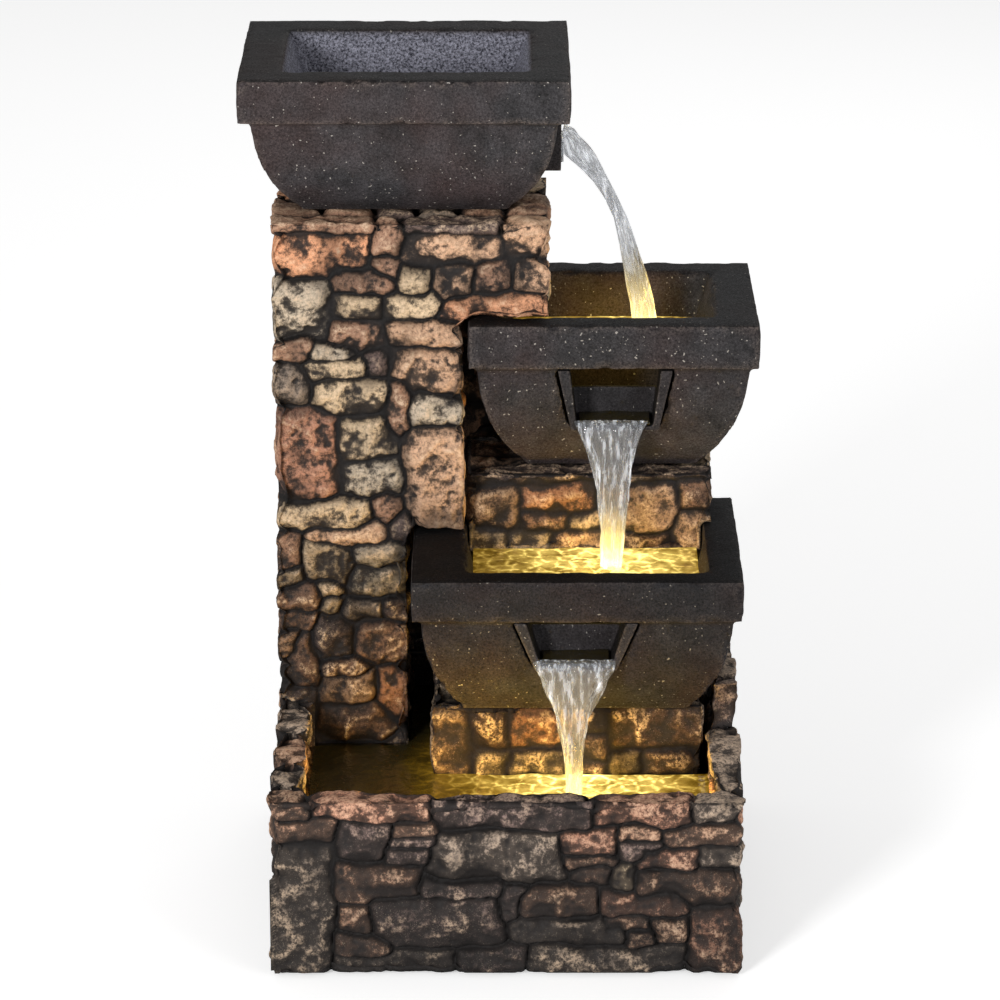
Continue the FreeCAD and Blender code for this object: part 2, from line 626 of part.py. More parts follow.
def make_pump():
    """Magnet-drive pump: potted motor housing, rotor with impeller, volute cover and strainer."""
    s = size
    axis = (s.pump_left + s.pump_right) / 2
    height = s.pump_axis_height
    outline = rounded_rectangle((s.pump_left, s.pump_right), (s.pump_bottom, s.pump_top), s.pump_round)
    shell = extruded("pump_shell", "y", [outline], s.pump_front, s.pump_back)
    nozzle = cylinder("pump_nozzle", s.outlet_radius, (s.outlet_across, s.outlet_along, s.pump_top - s.past),
                      s.outlet_top - s.pump_top + s.past)
    well_end = s.pump_front + s.volute_depth + s.rotor_length
    dial_at = (axis + s.dial_offset, s.pump_back - 12, s.pump_top + s.loose)
    hollows = [
        cylinder("pump_volute", s.volute_radius, (axis, s.pump_front - s.past, height),
                 s.volute_depth + s.past, "y"),
        cylinder("pump_well", s.rotor_well, (axis, s.pump_front, height), well_end - s.pump_front, "y"),
        cylinder("pump_outlet_bore", s.outlet_bore, (s.outlet_across, s.outlet_along, height),
                 s.outlet_top - height + s.past),
        box("pump_coil_hollow", (s.pump_left + 5, s.pump_right - 5),
            (s.pump_front + s.volute_depth + 3, s.pump_back - 4),
            (s.pump_bottom + 2.5, height - s.rotor_well - 1.5)),
        cylinder("pump_bush_seat", 2.6, (axis, well_end - s.past, height), s.bush_length + s.past, "y"),
        cylinder("pump_seal_groove", 16, (axis, s.pump_front - s.past, height), s.seal_depth + 1.1 * s.past,
                 "y"),
        cylinder("pump_dial_hole", s.dial_stem + 0.06, (dial_at[0], dial_at[1], s.pump_top - 4.3), 5),
    ]
    node(cut("pump_cut", fuse("pump_solid", [shell, nozzle]), hollows), "pump_housing")
    coil = box("pump_coil_block", (s.pump_left + 5.2, s.pump_right - 5.2),
               (s.pump_front + s.volute_depth + 3.2, s.pump_back - 4.2),
               (s.pump_bottom + 2.7, height - s.rotor_well - 1.7))
    node(coil, "pump_coil")
    seal = [(14.4, 0), (15.8, 0), (15.8, s.seal_depth), (14.4, s.seal_depth)]
    node(turned("pump_seal_ring", seal, (axis, s.pump_front + 0.05, height), "y"), "pump_seal")
    cover_front = s.pump_front - 0.4
    cover_back = s.pump_front + 1.2
    cover_thick = cover_back - cover_front
    plate = [(4.5, 0), (14.2, 0), (14.2, cover_thick), (4.5, cover_thick)]
    volute_plate = turned("pump_volute_plate", plate, (axis, cover_front, height), "y")
    spokes = [
        box("pump_spoke_across", (axis - 4.8, axis + 4.8), (cover_front, cover_back),
            (height - 1, height + 1)),
        box("pump_spoke_up", (axis - 1, axis + 1), (cover_front, cover_back), (height - 4.8, height + 4.8)),
        cylinder("pump_spoke_hub", 2.6, (axis, cover_front, height), cover_thick, "y"),
    ]
    bush_hole = cylinder("pump_front_bush_hole", 1.9, (axis, s.pump_front - s.past, height), 4, "y")
    node(cut("pump_volute_cut", fuse("pump_volute_solid", [volute_plate] + spokes), [bush_hole]),
         "pump_volute_cover")
    for label, radius, start in (("front", 1.85, cover_front), ("rear", 2.55, well_end)):
        ring = [(s.shaft_radius, 0), (radius, 0), (radius, s.bush_length), (s.shaft_radius, s.bush_length)]
        node(turned(f"pump_bush_{label}_ring", ring, (axis, start, height), "y"), f"pump_bush_{label}")
    node(cylinder("pump_shaft_rod", s.shaft_radius, (axis, cover_front, height),
                  well_end + s.bush_length - cover_front, "y"), "pump_shaft")
    make_rotor(axis, height, well_end)
    make_strainer(outline, axis)
    r = s.dial_radius
    dial = turned("pump_dial_disc", [(0, -4), (s.dial_stem, -4), (s.dial_stem, 0), (r, 0), (r, 2.4),
                                     (r - 0.6, 3), (0, 3)], dial_at)
    ridge = box("pump_dial_ridge", (dial_at[0] - r + 1, dial_at[0] + r - 1), (dial_at[1] - 1, dial_at[1] + 1),
                (s.pump_top + 3, s.pump_top + 5.5))
    node(fuse("pump_dial_solid", [dial, ridge]), "pump_flow_dial")
    for side, across in (("left", s.pump_left + 8), ("right", s.pump_right - 8)):
        for end, along in (("front", s.pump_front + 8), ("back", s.pump_back - 8)):
            cup = [(0, 1.2), (s.cup_radius - 0.8, 0), (s.cup_radius, 0), (2.2, 2.6),
                   (2.2, s.pump_bottom - s.floor_top), (0, s.pump_bottom - s.floor_top)]
            node(turned(f"pump_cup_{end}_{side}", cup, (across, along, s.floor_top)),
                 f"suction_cup_{end}_{side}")


def make_rotor(axis, height, well_end):
    """Magnet sleeve with a six-vaned impeller on its front end, turning on the fixed shaft."""
    s = size
    bore = s.shaft_radius + 0.06
    vane_front = s.pump_front + 2
    length = well_end - 0.6 - vane_front
    sleeve = [(bore, 0), (3, 0), (3, 4.5), (s.impeller_radius, 4.5), (s.impeller_radius, 6),
              (s.rotor_radius, 6),
              (s.rotor_radius, length), (bore, length)]
    parts = [turned("rotor_sleeve", sleeve, (axis, vane_front, height), "y")]
    for turn in range(0, 360, 60):
        vane = document.addObject("Part::Box", f"rotor_vane_{turn}")
        bind(vane, "Length", s.impeller_radius - 2.5)
        vane.Width = 4.6
        vane.Height = 1.2
        turning = FreeCAD.Rotation(Vector(0, 1, 0), turn)
        offset = turning.multVec(Vector(2.5, 0, -0.6))
        place(vane, (axis + offset.x, vane_front, height + offset.z), turning)
        parts.append(vane)
    node(fuse("rotor_solid", parts), "pump_impeller")


def make_strainer(outline, axis):
    """Front cover with rows of intake slots, pushed onto the housing's front."""
    s = size
    front = s.pump_front - s.pump_cover
    shell = extruded("strainer_shell", "y", [outline], front, s.pump_front - s.loose)
    wall = s.pump_shell
    hollow = box("strainer_hollow", (s.pump_left + wall, s.pump_right - wall),
                 (front + wall, s.pump_front + s.past),
                 (s.pump_bottom + wall, s.pump_top - wall))
    slots = []
    for row in range(7):
        low = s.pump_bottom + 6 + 4 * row
        slots.append(box(f"strainer_slot_{row}", (s.pump_left + 6, s.pump_right - 6),
                         (front - s.past, front + wall + s.past), (low, low + 2)))
    bars = box("strainer_bar", (axis - 1.2, axis + 1.2), (front, front + wall),
               (s.pump_bottom + 3, s.pump_top - 3))
    node(fuse("strainer_solid", [cut("strainer_cut", shell, [hollow] + slots), bars]), "pump_strainer")


def make_water_way():
    """Riser hose from the pump to the fitting in the top bowl's floor, with its clamps."""
    s = size
    start = (s.outlet_across, s.outlet_along)
    end = (s.inlet_across, s.inlet_along)
    points = [(*start, s.hose_start), (*start, 92), (-71, 46, 150), (-67, 52, 212), (*end, 264),
              (*end, s.hose_end)]
    tube("riser_hose", points, s.hose_radius, s.hose_bore)
    for label, (across, along), low in (("lower", start, s.hose_start + 3), ("upper", end, s.hose_end - 9)):
        inner = s.hose_radius + 0.05
        band = turned(f"clamp_{label}_band", [(inner, 0), (inner + 0.8, 0), (inner + 0.8, 6), (inner, 6)],
                      (across, along, low))
        ear = box(f"clamp_{label}_ear", (across + inner + 0.4, across + inner + 4),
                  (along - 1.2, along + 1.2),
                  (low, low + 6))
        node(fuse(f"clamp_{label}_solid", [band, ear]), f"hose_clamp_{label}")
    bore = s.outlet_bore
    barb = s.hose_bore - 0.05
    floor = s.upper_floor
    low = s.hose_end - 14
    r = s.inlet_radius
    outline = [(bore, 0), (barb, 0), (barb, 14), (r, 14), (r, floor - low), (s.inlet_flange, floor - low),
               (s.inlet_flange, floor - low + 2), (bore, floor - low + 4)]
    node(turned("inlet_turned", outline, (*end, low)), "inlet_fitting")
    roof = s.pillar_top - s.pillar_wall
    washer = [(r + 0.1, 0), (r + 4, 0), (r + 4, 1.5), (r + 0.1, 1.5)]
    node(turned("inlet_washer_ring", washer, (*end, roof - 1.5)), "inlet_washer")
    corners = []
    for corner in range(6):
        angle = math.radians(60 * corner)
        corners.append(((r + 4) * math.cos(angle) + end[0], (r + 4) * math.sin(angle) + end[1]))
    hexagon = extruded("inlet_nut_hexagon", "z", [corners], roof - 7, roof - 1.5)
    bore_tool = cylinder("inlet_nut_bore", r + 0.05, (*end, roof - 8), 8)
    node(cut("inlet_nut_cut", hexagon, [bore_tool]), "inlet_nut")


def make_lamp(label, across, along, floor):
    """Underwater light: cup, LED board and domed lens."""
    s = size
    r = s.lamp_radius
    wall = s.lamp_wall
    top = s.lamp_height
    cup = [(0, 0), (r - 1, 0), (r, 1), (r, top), (r - wall, top), (r - wall, wall), (0, wall)]
    node(turned(f"{label}_cup", cup, (across, along, floor)), f"{label}_housing")
    board = [(0, 0), (r - wall - 0.4, 0), (r - wall - 0.4, 1.2), (2.5, 1.2), (2.5, 2.2), (0, 2.2)]
    node(turned(f"{label}_disc", board, (across, along, floor + wall)), f"{label}_board")
    lens = [(0, 4.6), (s.lens_radius, 4.6), (s.lens_radius, 7.4), (6, 9), (0, 9.4)]
    node(turned(f"{label}_dome", lens, (across, along, floor)), f"{label}_lens")


def make_lamps_and_leads():
    """Three lights, the potted splice box in the pillar, and every lead between them."""
    s = size
    lead = s.lead_radius
    make_lamp("base_light", s.low_lamp_across, s.base_lamp_along, s.floor_top)
    make_lamp("lower_light", s.low_lamp_across, s.low_lamp_along, s.lower_floor)
    make_lamp("middle_light", s.mid_lamp_across, s.mid_lamp_along, s.middle_floor)
    inner_left = s.base_left + s.pillar_wall
    node(box("splice_box", (inner_left, inner_left + 10), (56, 80), (182, 214)), "lead_splice")
    edge = inner_left + 10
    base_along = s.base_lamp_along
    tube("base_light_lead", [(s.low_lamp_across - s.lamp_radius, base_along, 14), (2, base_along, 14),
                             (-28, -40, 11.8), (-58, -22, 11.6), (-72, 0, 11.6), (-70, 15.3, 11.9),
                             (-52.6, 16, 11.9), (-52.6, 16, 46), (-53, 18, 80), (-58, 30, 110),
                             (-62, 46, 140),
                             (-66, 58, 170), (-77, 63, 204), (edge, 63, 204)], lead)
    low_at = (s.low_lamp_across, s.low_lamp_along)
    tube("lower_light_lead", [(*low_at, s.lower_floor), (*low_at, 90), (28, -2, 82), (14, 24, 81),
                              (-2, 54, 84),
                              (-16, 70, 86), (-64, 70, 86), (-67, 71, 112), (-69, 70, 150), (-77, 69, 195),
                              (edge, 69, 195)], lead)
    mid_at = (s.mid_lamp_across, s.mid_lamp_along)
    tube("middle_light_lead", [(*mid_at, s.middle_floor), (*mid_at, 187), (44, 58, 179), (24, 64, 178),
                               (4, 68, 182), (-34, 68, 182), (-52, 72, 188), (-64, 75, 200), (-78, 75, 207),
                               (edge, 75, 207)], lead)
    tube("pump_lead", [(-84, s.pump_back, 44), (-84, s.pump_back + 3.4, 44), (-84.5, s.pump_back + 5.4, 49),
                       (-86, s.pump_back + 5, 62), (-88, 78, 88), (-85, 77, 122), (-80, 76, 156),
                       (-78, 76, 190),
                       (edge, 76, 190)], lead)
    gland_face = s.base_back - s.rim_back
    gland_at = (s.gland_across, gland_face, s.gland_up)
    tube("cord_tail", [gland_at, (s.gland_across, gland_face - 5, s.gland_up), (-68, 70, 86), (-82, 63, 112),
                       (-93, 61, 148), (-93, 61, 182)], s.cord_radius)
    outline = [(0, 0), (s.gland_radius - 0.1, 0), (s.gland_radius - 0.1, s.rim_back), (7, s.rim_back),
               (6.4, s.rim_back + 2.4), (3.6, s.rim_back + 4), (0, s.rim_back + 4)]
    node(turned("gland_turned", outline, (s.gland_across, gland_face, s.gland_up), "y"), "cord_gland")


make_base()
make_feet()
make_pillar()
make_door()
make_blocks()
make_bowls()
make_pump()
make_water_way()
make_lamps_and_leads()
document.recompute()

for thing in document.Objects:
    if "Invalid" in thing.State or "Error" in thing.State:
        raise RuntimeError(f"{thing.Name} did not build: {thing.State}")
for piece in nodes:
    if piece.Shape.isNull() or not piece.Shape.isValid():
        raise RuntimeError(f"{piece.Label} has no valid shape")

os.makedirs("parts", exist_ok=True)
for piece in nodes:
    piece.Shape.exportStep(f"parts/{piece.Label}.step")
print(len(nodes), "pieces")
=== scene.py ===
"""Tabletop water fountain: carved stone castings, slate bowls, falling water and the lights under it.

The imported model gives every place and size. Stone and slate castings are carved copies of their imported
solids, and the pump, hose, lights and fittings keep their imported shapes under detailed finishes.
"""

import json
import math

import bmesh
import bpy
import numpy as np
from mathutils import Matrix, Vector


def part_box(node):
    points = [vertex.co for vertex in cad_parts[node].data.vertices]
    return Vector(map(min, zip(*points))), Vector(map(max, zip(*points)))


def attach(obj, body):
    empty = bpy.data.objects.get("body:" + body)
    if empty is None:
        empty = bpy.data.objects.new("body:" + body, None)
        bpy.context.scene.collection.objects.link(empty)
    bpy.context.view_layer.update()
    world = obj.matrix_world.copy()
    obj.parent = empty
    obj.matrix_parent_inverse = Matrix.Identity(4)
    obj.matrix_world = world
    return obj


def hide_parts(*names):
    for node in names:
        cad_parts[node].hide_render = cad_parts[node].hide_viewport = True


MM = 0.001
CAMERA_PLACE = (-0.5, -1974.6, 888.8)
CAMERA_TILT = 70.5
CAMERA_LENS = 162
WORLD_LIGHT = 0.34
FLOOR_GLOW = 0.5
GLOW_COLOUR = (1.0, 0.64, 0.09)
GLOW_RADIUS = 8
# Heights of the water surfaces, and how far a stream's strands stray from a round section.
BASIN_WATER = 64
LOWER_WATER = 159
MIDDLE_WATER = 253
TOP_WATER = 342.5
STRAND_DEPTH = 0.22
# A casting's vertices with no more skin than this stay as packed.
INNER_SKIN = 0.02

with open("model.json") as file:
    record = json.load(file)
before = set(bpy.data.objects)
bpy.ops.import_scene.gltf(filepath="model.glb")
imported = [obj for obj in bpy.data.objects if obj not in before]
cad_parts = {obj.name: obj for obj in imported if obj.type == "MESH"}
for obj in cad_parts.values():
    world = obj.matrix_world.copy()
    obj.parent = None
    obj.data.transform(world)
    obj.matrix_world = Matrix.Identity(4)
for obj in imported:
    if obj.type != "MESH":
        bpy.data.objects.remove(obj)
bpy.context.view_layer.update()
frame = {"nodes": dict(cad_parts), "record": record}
collection = bpy.context.scene.collection


def in_mm(node):
    """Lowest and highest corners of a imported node, in millimetres."""
    low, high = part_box(node)
    return Vector(low) / MM, Vector(high) / MM


# ---------------------------------------------------------------- camera, lights and floor

def make_camera():
    lens = bpy.data.cameras.new("camera")
    lens.lens = CAMERA_LENS
    lens.sensor_width = 36
    lens.clip_end = 50
    camera = bpy.data.objects.new("camera", lens)
    camera.location = Vector(CAMERA_PLACE) * MM
    camera.rotation_euler = (math.radians(CAMERA_TILT), 0, 0)
    collection.objects.link(camera)
    bpy.context.scene.camera = camera


def area_light(name, place, target, size, power):
    lamp = bpy.data.lights.new(name, "AREA")
    lamp.shape = "RECTANGLE"
    lamp.size, lamp.size_y = size
    lamp.energy = power
    holder = bpy.data.objects.new(name, lamp)
    holder.location = place
    direction = Vector(target) - Vector(place)
    holder.rotation_euler = direction.to_track_quat("-Z", "Y").to_euler()
    collection.objects.link(holder)


def glow_light(name, place, power):
    """A small yellow light just over the water, where the underwater light shines out."""
    lamp = bpy.data.lights.new(name, "POINT")
    lamp.energy = power
    lamp.color = GLOW_COLOUR
    lamp.shadow_soft_size = GLOW_RADIUS * MM
    holder = bpy.data.objects.new(name, lamp)
    holder.location = Vector(place) * MM
    holder.visible_camera = False
    holder.visible_glossy = False
    collection.objects.link(holder)


def make_studio():
    world = bpy.data.worlds.new("studio")
    world.use_nodes = True
    sky = world.node_tree.nodes["Background"].inputs
    sky["Color"].default_value = (1, 1, 1, 1)
    sky["Strength"].default_value = WORLD_LIGHT
    bpy.context.scene.world = world
    bpy.context.scene.view_settings.view_transform = "Standard"
    area_light("key", (-1.0, -1.8, 0.85), (0, 0, 0.22), (0.4, 0.4), 27)
    area_light("fill", (1.4, -1.5, 0.6), (0, 0, 0.2), (0.8, 0.8), 10)
    area_light("back", (0.3, 1.5, 1.2), (0, 0, 0.2), (1.2, 0.6), 4)
    bm = bmesh.new()
    bmesh.ops.create_grid(bm, x_segments=1, y_segments=1, size=4)
    floor = mesh_object("floor", bm)
    floor.data.materials.append(floor_material())


# ---------------------------------------------------------------- mesh helpers

def mesh_object(name, bm):
    mesh = bpy.data.meshes.new(name)
    bm.to_mesh(mesh)
    bm.free()
    piece = bpy.data.objects.new(name, mesh)
    collection.objects.link(piece)
    return piece


def shade_smooth(piece):
    piece.data.polygons.foreach_set("use_smooth", np.ones(len(piece.data.polygons), dtype=bool))
    piece.data.update()


def vertex_arrays(mesh):
    """Points and normals of a mesh, in millimetres and unit vectors."""
    count = len(mesh.vertices)
    points = np.empty(count * 3)
    mesh.vertices.foreach_get("co", points)
    normals = np.empty(count * 3)
    mesh.vertex_normals.foreach_get("vector", normals)
    return points.reshape(-1, 3) / MM, normals.reshape(-1, 3)


def move_vertices(mesh, points):
    mesh.vertices.foreach_set("co", (points * MM).ravel())
    mesh.update()


def add_value(mesh, name, values):
    mesh.attributes.new(name, "FLOAT", "POINT").data.foreach_set("value", values.astype(np.float32))


def add_colour(mesh, name, colours):
    rgba = np.ones((len(colours), 4), dtype=np.float32)
    rgba[:, :3] = colours
    mesh.attributes.new(name, "FLOAT_COLOR", "POINT").data.foreach_set("color", rgba.ravel())


def even_copy(node, name, voxel):
    """A copy of a packed casting, remeshed in even small squares."""
    mesh = frame["nodes"][node].data.copy()
    bm = bmesh.new()
    bm.from_mesh(mesh)
    bmesh.ops.remove_doubles(bm, verts=bm.verts, dist=0.01 * MM)
    bm.to_mesh(mesh)
    bm.free()
    raw = bpy.data.objects.new(name + "_raw", mesh)
    collection.objects.link(raw)
    even = raw.modifiers.new("even", "REMESH")
    even.mode = "VOXEL"
    even.voxel_size = voxel * MM
    graph = bpy.context.evaluated_depsgraph_get()
    fine = bpy.data.meshes.new_from_object(raw.evaluated_get(graph))
    bpy.data.objects.remove(raw)
    bpy.data.meshes.remove(mesh)
    fine.materials.clear()
    piece = bpy.data.objects.new(name, fine)
    collection.objects.link(piece)
    return piece


def refine(piece, wanted):
    """Split the faces that are wanted, given their centres and normals in millimetres, once each way."""
    bm = bmesh.new()
    bm.from_mesh(piece.data)
    bm.faces.ensure_lookup_table()
    chosen = [face for face in bm.faces if wanted(face.calc_center_median() / MM, face.normal)]
    edges = list({edge for face in chosen for edge in face.edges})
    bmesh.ops.subdivide_edges(bm, edges=edges, cuts=1, use_grid_fill=True)
    bm.to_mesh(piece.data)
    bm.free()


def simplify(piece, plain):
    """Dissolve the flat faces whose corners are all plain, such as the inside of a hollow casting."""
    bm = bmesh.new()
    bm.from_mesh(piece.data)
    bm.verts.ensure_lookup_table()
    inner = [vert for vert in bm.verts if plain[vert.index]]
    kept = set(inner)
    edges = [edge for edge in bm.edges if edge.verts[0] in kept and edge.verts[1] in kept]
    bmesh.ops.dissolve_limit(bm, angle_limit=math.radians(2), verts=inner, edges=edges)
    bm.to_mesh(piece.data)
    bm.free()


def neighbour_bulge(mesh, points, normals, rounds=2):
    """How far each vertex stands out of its neighbours' mean, in millimetres, smoothed a little."""
    edges = np.empty(len(mesh.edges) * 2, dtype=np.int64)
    mesh.edges.foreach_get("vertices", edges)
    edges = edges.reshape(-1, 2)
    count = np.bincount(edges.ravel(), minlength=len(points)).astype(float)
    count[count == 0] = 1

    def mean(values):
        total = np.bincount(edges[:, 0], values[edges[:, 1]], len(points))
        total += np.bincount(edges[:, 1], values[edges[:, 0]], len(points))
        return total / count

    around = points.T
    for _ in range(rounds):
        around = [mean(axis) for axis in around]
    bulge = ((points - np.array(around).T) * normals).sum(axis=1)
    return mean(bulge)


LATTICE = np.random.default_rng(5).uniform(-1, 1, (32, 32, 32))


def field(points, scale, seed, octaves=2):
    """Soft noise at each point, about -1 to 1, with features of roughly the scale in millimetres."""
    total = np.zeros(len(points))
    for octave in range(octaves):
        spot = points / scale * 2 ** octave + seed * 7.31 + octave * 3.7
        cell = np.floor(spot).astype(int)
        part = spot - cell
        ease = part * part * (3 - 2 * part)
        value = np.zeros(len(points))
        for corner in np.ndindex(2, 2, 2):
            share = np.where(np.array(corner) == 1, ease, 1 - ease).prod(axis=1)
            value += share * LATTICE[tuple(((cell + corner) % 32).T)]
        total += value * 0.5 ** octave
    return total


def vector_field(points, scale, seed):
    return np.stack([field(points, scale, seed + 0.37 * axis, 1) for axis in range(3)], axis=1)


# ---------------------------------------------------------------- stones

def linear(red, green, blue):
    """A colour given in everyday 0 to 255 values, as light."""
    shares = [value / 255 for value in (red, green, blue)]
    return tuple(((share + 0.055) / 1.055) ** 2.4 if share > 0.04 else share / 12.92 for share in shares)


STONE_TINTS = {
    "tan": linear(176, 140, 112),
    "orange": linear(186, 132, 98),
    "sand": linear(168, 146, 118),
    "grey": linear(150, 136, 118),
    "brown": linear(132, 100, 80),
    "red": linear(142, 102, 82),
    "dark": linear(92, 76, 70),
    "ash": linear(118, 104, 92),
}

# Stones in the pillar's front: left, right, low, high, tint. The first ones are at the head.
PILLAR_STONES = [
    (-107, -58, 295, 317, "orange"), (-107, -60, 316, 323, "brown"), (-58, -44, 305, 322, "brown"),
    (-43, 0, 300, 317, "tan"), (-44, -1, 317, 323, "dark"), (0, 24, 303, 322, "tan"),
    (-57, -47, 294, 304, "brown"), (-77, -49, 286, 298, "brown"), (-46, -34, 288, 299, "sand"),
    (-32, -13, 286, 300, "tan"), (-12, 4, 288, 302, "brown"), (5, 24, 286, 302, "tan"),
    (-108, -80, 264, 294, "grey"), (-77, -54, 275, 286, "sand"), (-53, -28, 276, 287, "sand"),
    (-26, 24, 274, 285, "orange"), (-79, -54, 260, 274, "brown"), (-52, -19, 262, 275, "tan"),
    (-107, -88, 256, 263, "brown"), (-86, -72, 255, 261, "grey"), (-90, -65, 246, 254, "sand"),
    (-64, -53, 247, 259, "dark"), (-52, -17, 238, 261, "tan"), (-107, -89, 234, 254, "ash"),
    (-87, -54, 229, 245, "sand"), (-52, -44, 221, 243, "brown"), (-43, -17, 224, 237, "grey"),
    (-107, -77, 187, 230, "red"), (-76, -50, 205, 227, "sand"), (-42, -17, 172, 222, "tan"),
    (-73, -45, 188, 204, "grey"), (-107, -62, 172, 184, "sand"), (-59, -48, 176, 187, "brown"),
    (-88, -57, 166, 172, "tan"), (-51, -42, 167, 176, "dark"), (-107, -95, 152, 171, "brown"),
    (-93, -70, 145, 166, "sand"), (-68, -48, 156, 166, "grey"), (-70, -43, 138, 154, "grey"),
    (-107, -95, 144, 151, "sand"), (-107, -87, 132, 143, "brown"), (-86, -77, 139, 145, "sand"),
    (-84, -76, 130, 138, "sand"), (-73, -56, 127, 134, "ash"), (-55, -43, 127, 136, "dark"),
    (-107, -88, 122, 131, "brown"), (-89, -70, 106, 129, "dark"), (-68, -42, 105, 126, "brown"),
    (-107, -96, 107, 121, "tan"), (-103, -89, 91, 119, "brown"), (-82, -65, 99, 105, "brown"),
    (-82, -59, 83, 98, "tan"), (-57, -42, 76, 100, "orange"), (-83, -53, 64, 82, "brown"),
    (-106, -90, 76, 92, "dark"), (-90, -42, 50, 63, "dark"), (-90, -60, 30, 49, "dark"),
    (-60, -42, 30, 49, "dark"),
]

# Stones in the basin's front, from the rim down.
BASIN_STONES = [
    (-107, -87, 78, 88, "brown"), (-86, -31, 78, 88, "red"), (-30, 40, 72, 88, "dark"),
    (41, 85, 75, 88, "red"), (86, 112, 76, 88, "ash"), (-107, -76, 65, 78, "brown"),
    (-106, -76, 1, 64, "ash"), (-75, -49, 57, 78, "dark"), (-48, -30, 70, 77, "brown"),
    (-48, -30, 65, 70, "dark"), (-50, -34, 57, 64, "dark"), (-75, -36, 36, 56, "brown"),
    (-34, 28, 47, 71, "ash"), (-36, 0, 41, 47, "dark"), (-74, -60, 20, 35, "brown"),
    (-59, 1, 13, 40, "dark"), (-74, -53, 10, 19, "brown"), (-75, -20, 1, 12, "ash"),
    (-18, 11, 1, 14, "dark"), (2, 9, 27, 43, "dark"), (27, 54, 58, 73, "red"), (54, 71, 67, 74, "brown"),
    (54, 72, 58, 66, "dark"), (73, 108, 64, 75, "brown"), (29, 51, 54, 58, "brown"),
    (63, 89, 53, 62, "red"), (89, 111, 55, 64, "ash"), (32, 51, 43, 55, "brown"), (52, 60, 43, 53, "sand"),
    (61, 111, 35, 51, "brown"), (10, 45, 28, 43, "brown"), (47, 83, 29, 42, "red"),
    (48, 67, 22, 29, "brown"), (5, 57, 16, 28, "ash"), (58, 67, 16, 21, "brown"), (69, 84, 14, 28, "brown"),
    (86, 112, 1, 34, "red"), (12, 85, 1, 14, "ash"),
]

# Stones in the blocks' fronts, under the lower and the middle bowl.
LOWER_BLOCK_STONES = [
    (-34, -15, 62, 96, "tan"), (-14, 2, 78, 97, "brown"), (-13, 3, 60, 76, "sand"),
    (4, 30, 76, 94, "orange"), (3, 31, 64, 75, "sand"), (38, 50, 70, 84, "tan"), (49, 95, 76, 97, "brown"),
    (32, 48, 84, 97, "dark"), (50, 66, 64, 74, "sand"), (67, 88, 62, 73, "brown"), (31, 49, 60, 69, "tan"),
    (-34, 20, 40, 60, "dark"), (20, 95, 40, 60, "dark"), (-34, 30, 10, 39, "dark"),
    (30, 95, 10, 39, "dark"),
]
MIDDLE_BLOCK_STONES = [
    (-16, 10, 168, 190, "tan"), (11, 44, 176, 192, "orange"), (45, 53, 180, 194, "brown"),
    (54, 82, 166, 190, "tan"), (83, 101, 176, 195, "brown"), (-16, 2, 157, 167, "sand"),
    (4, 24, 157, 168, "sand"), (12, 30, 168, 176, "brown"), (25, 52, 157, 166, "tan"),
    (31, 53, 167, 175, "sand"), (54, 78, 157, 165, "brown"), (80, 101, 157, 174, "tan"),
    (-16, 101, 192, 198, "dark"),
]


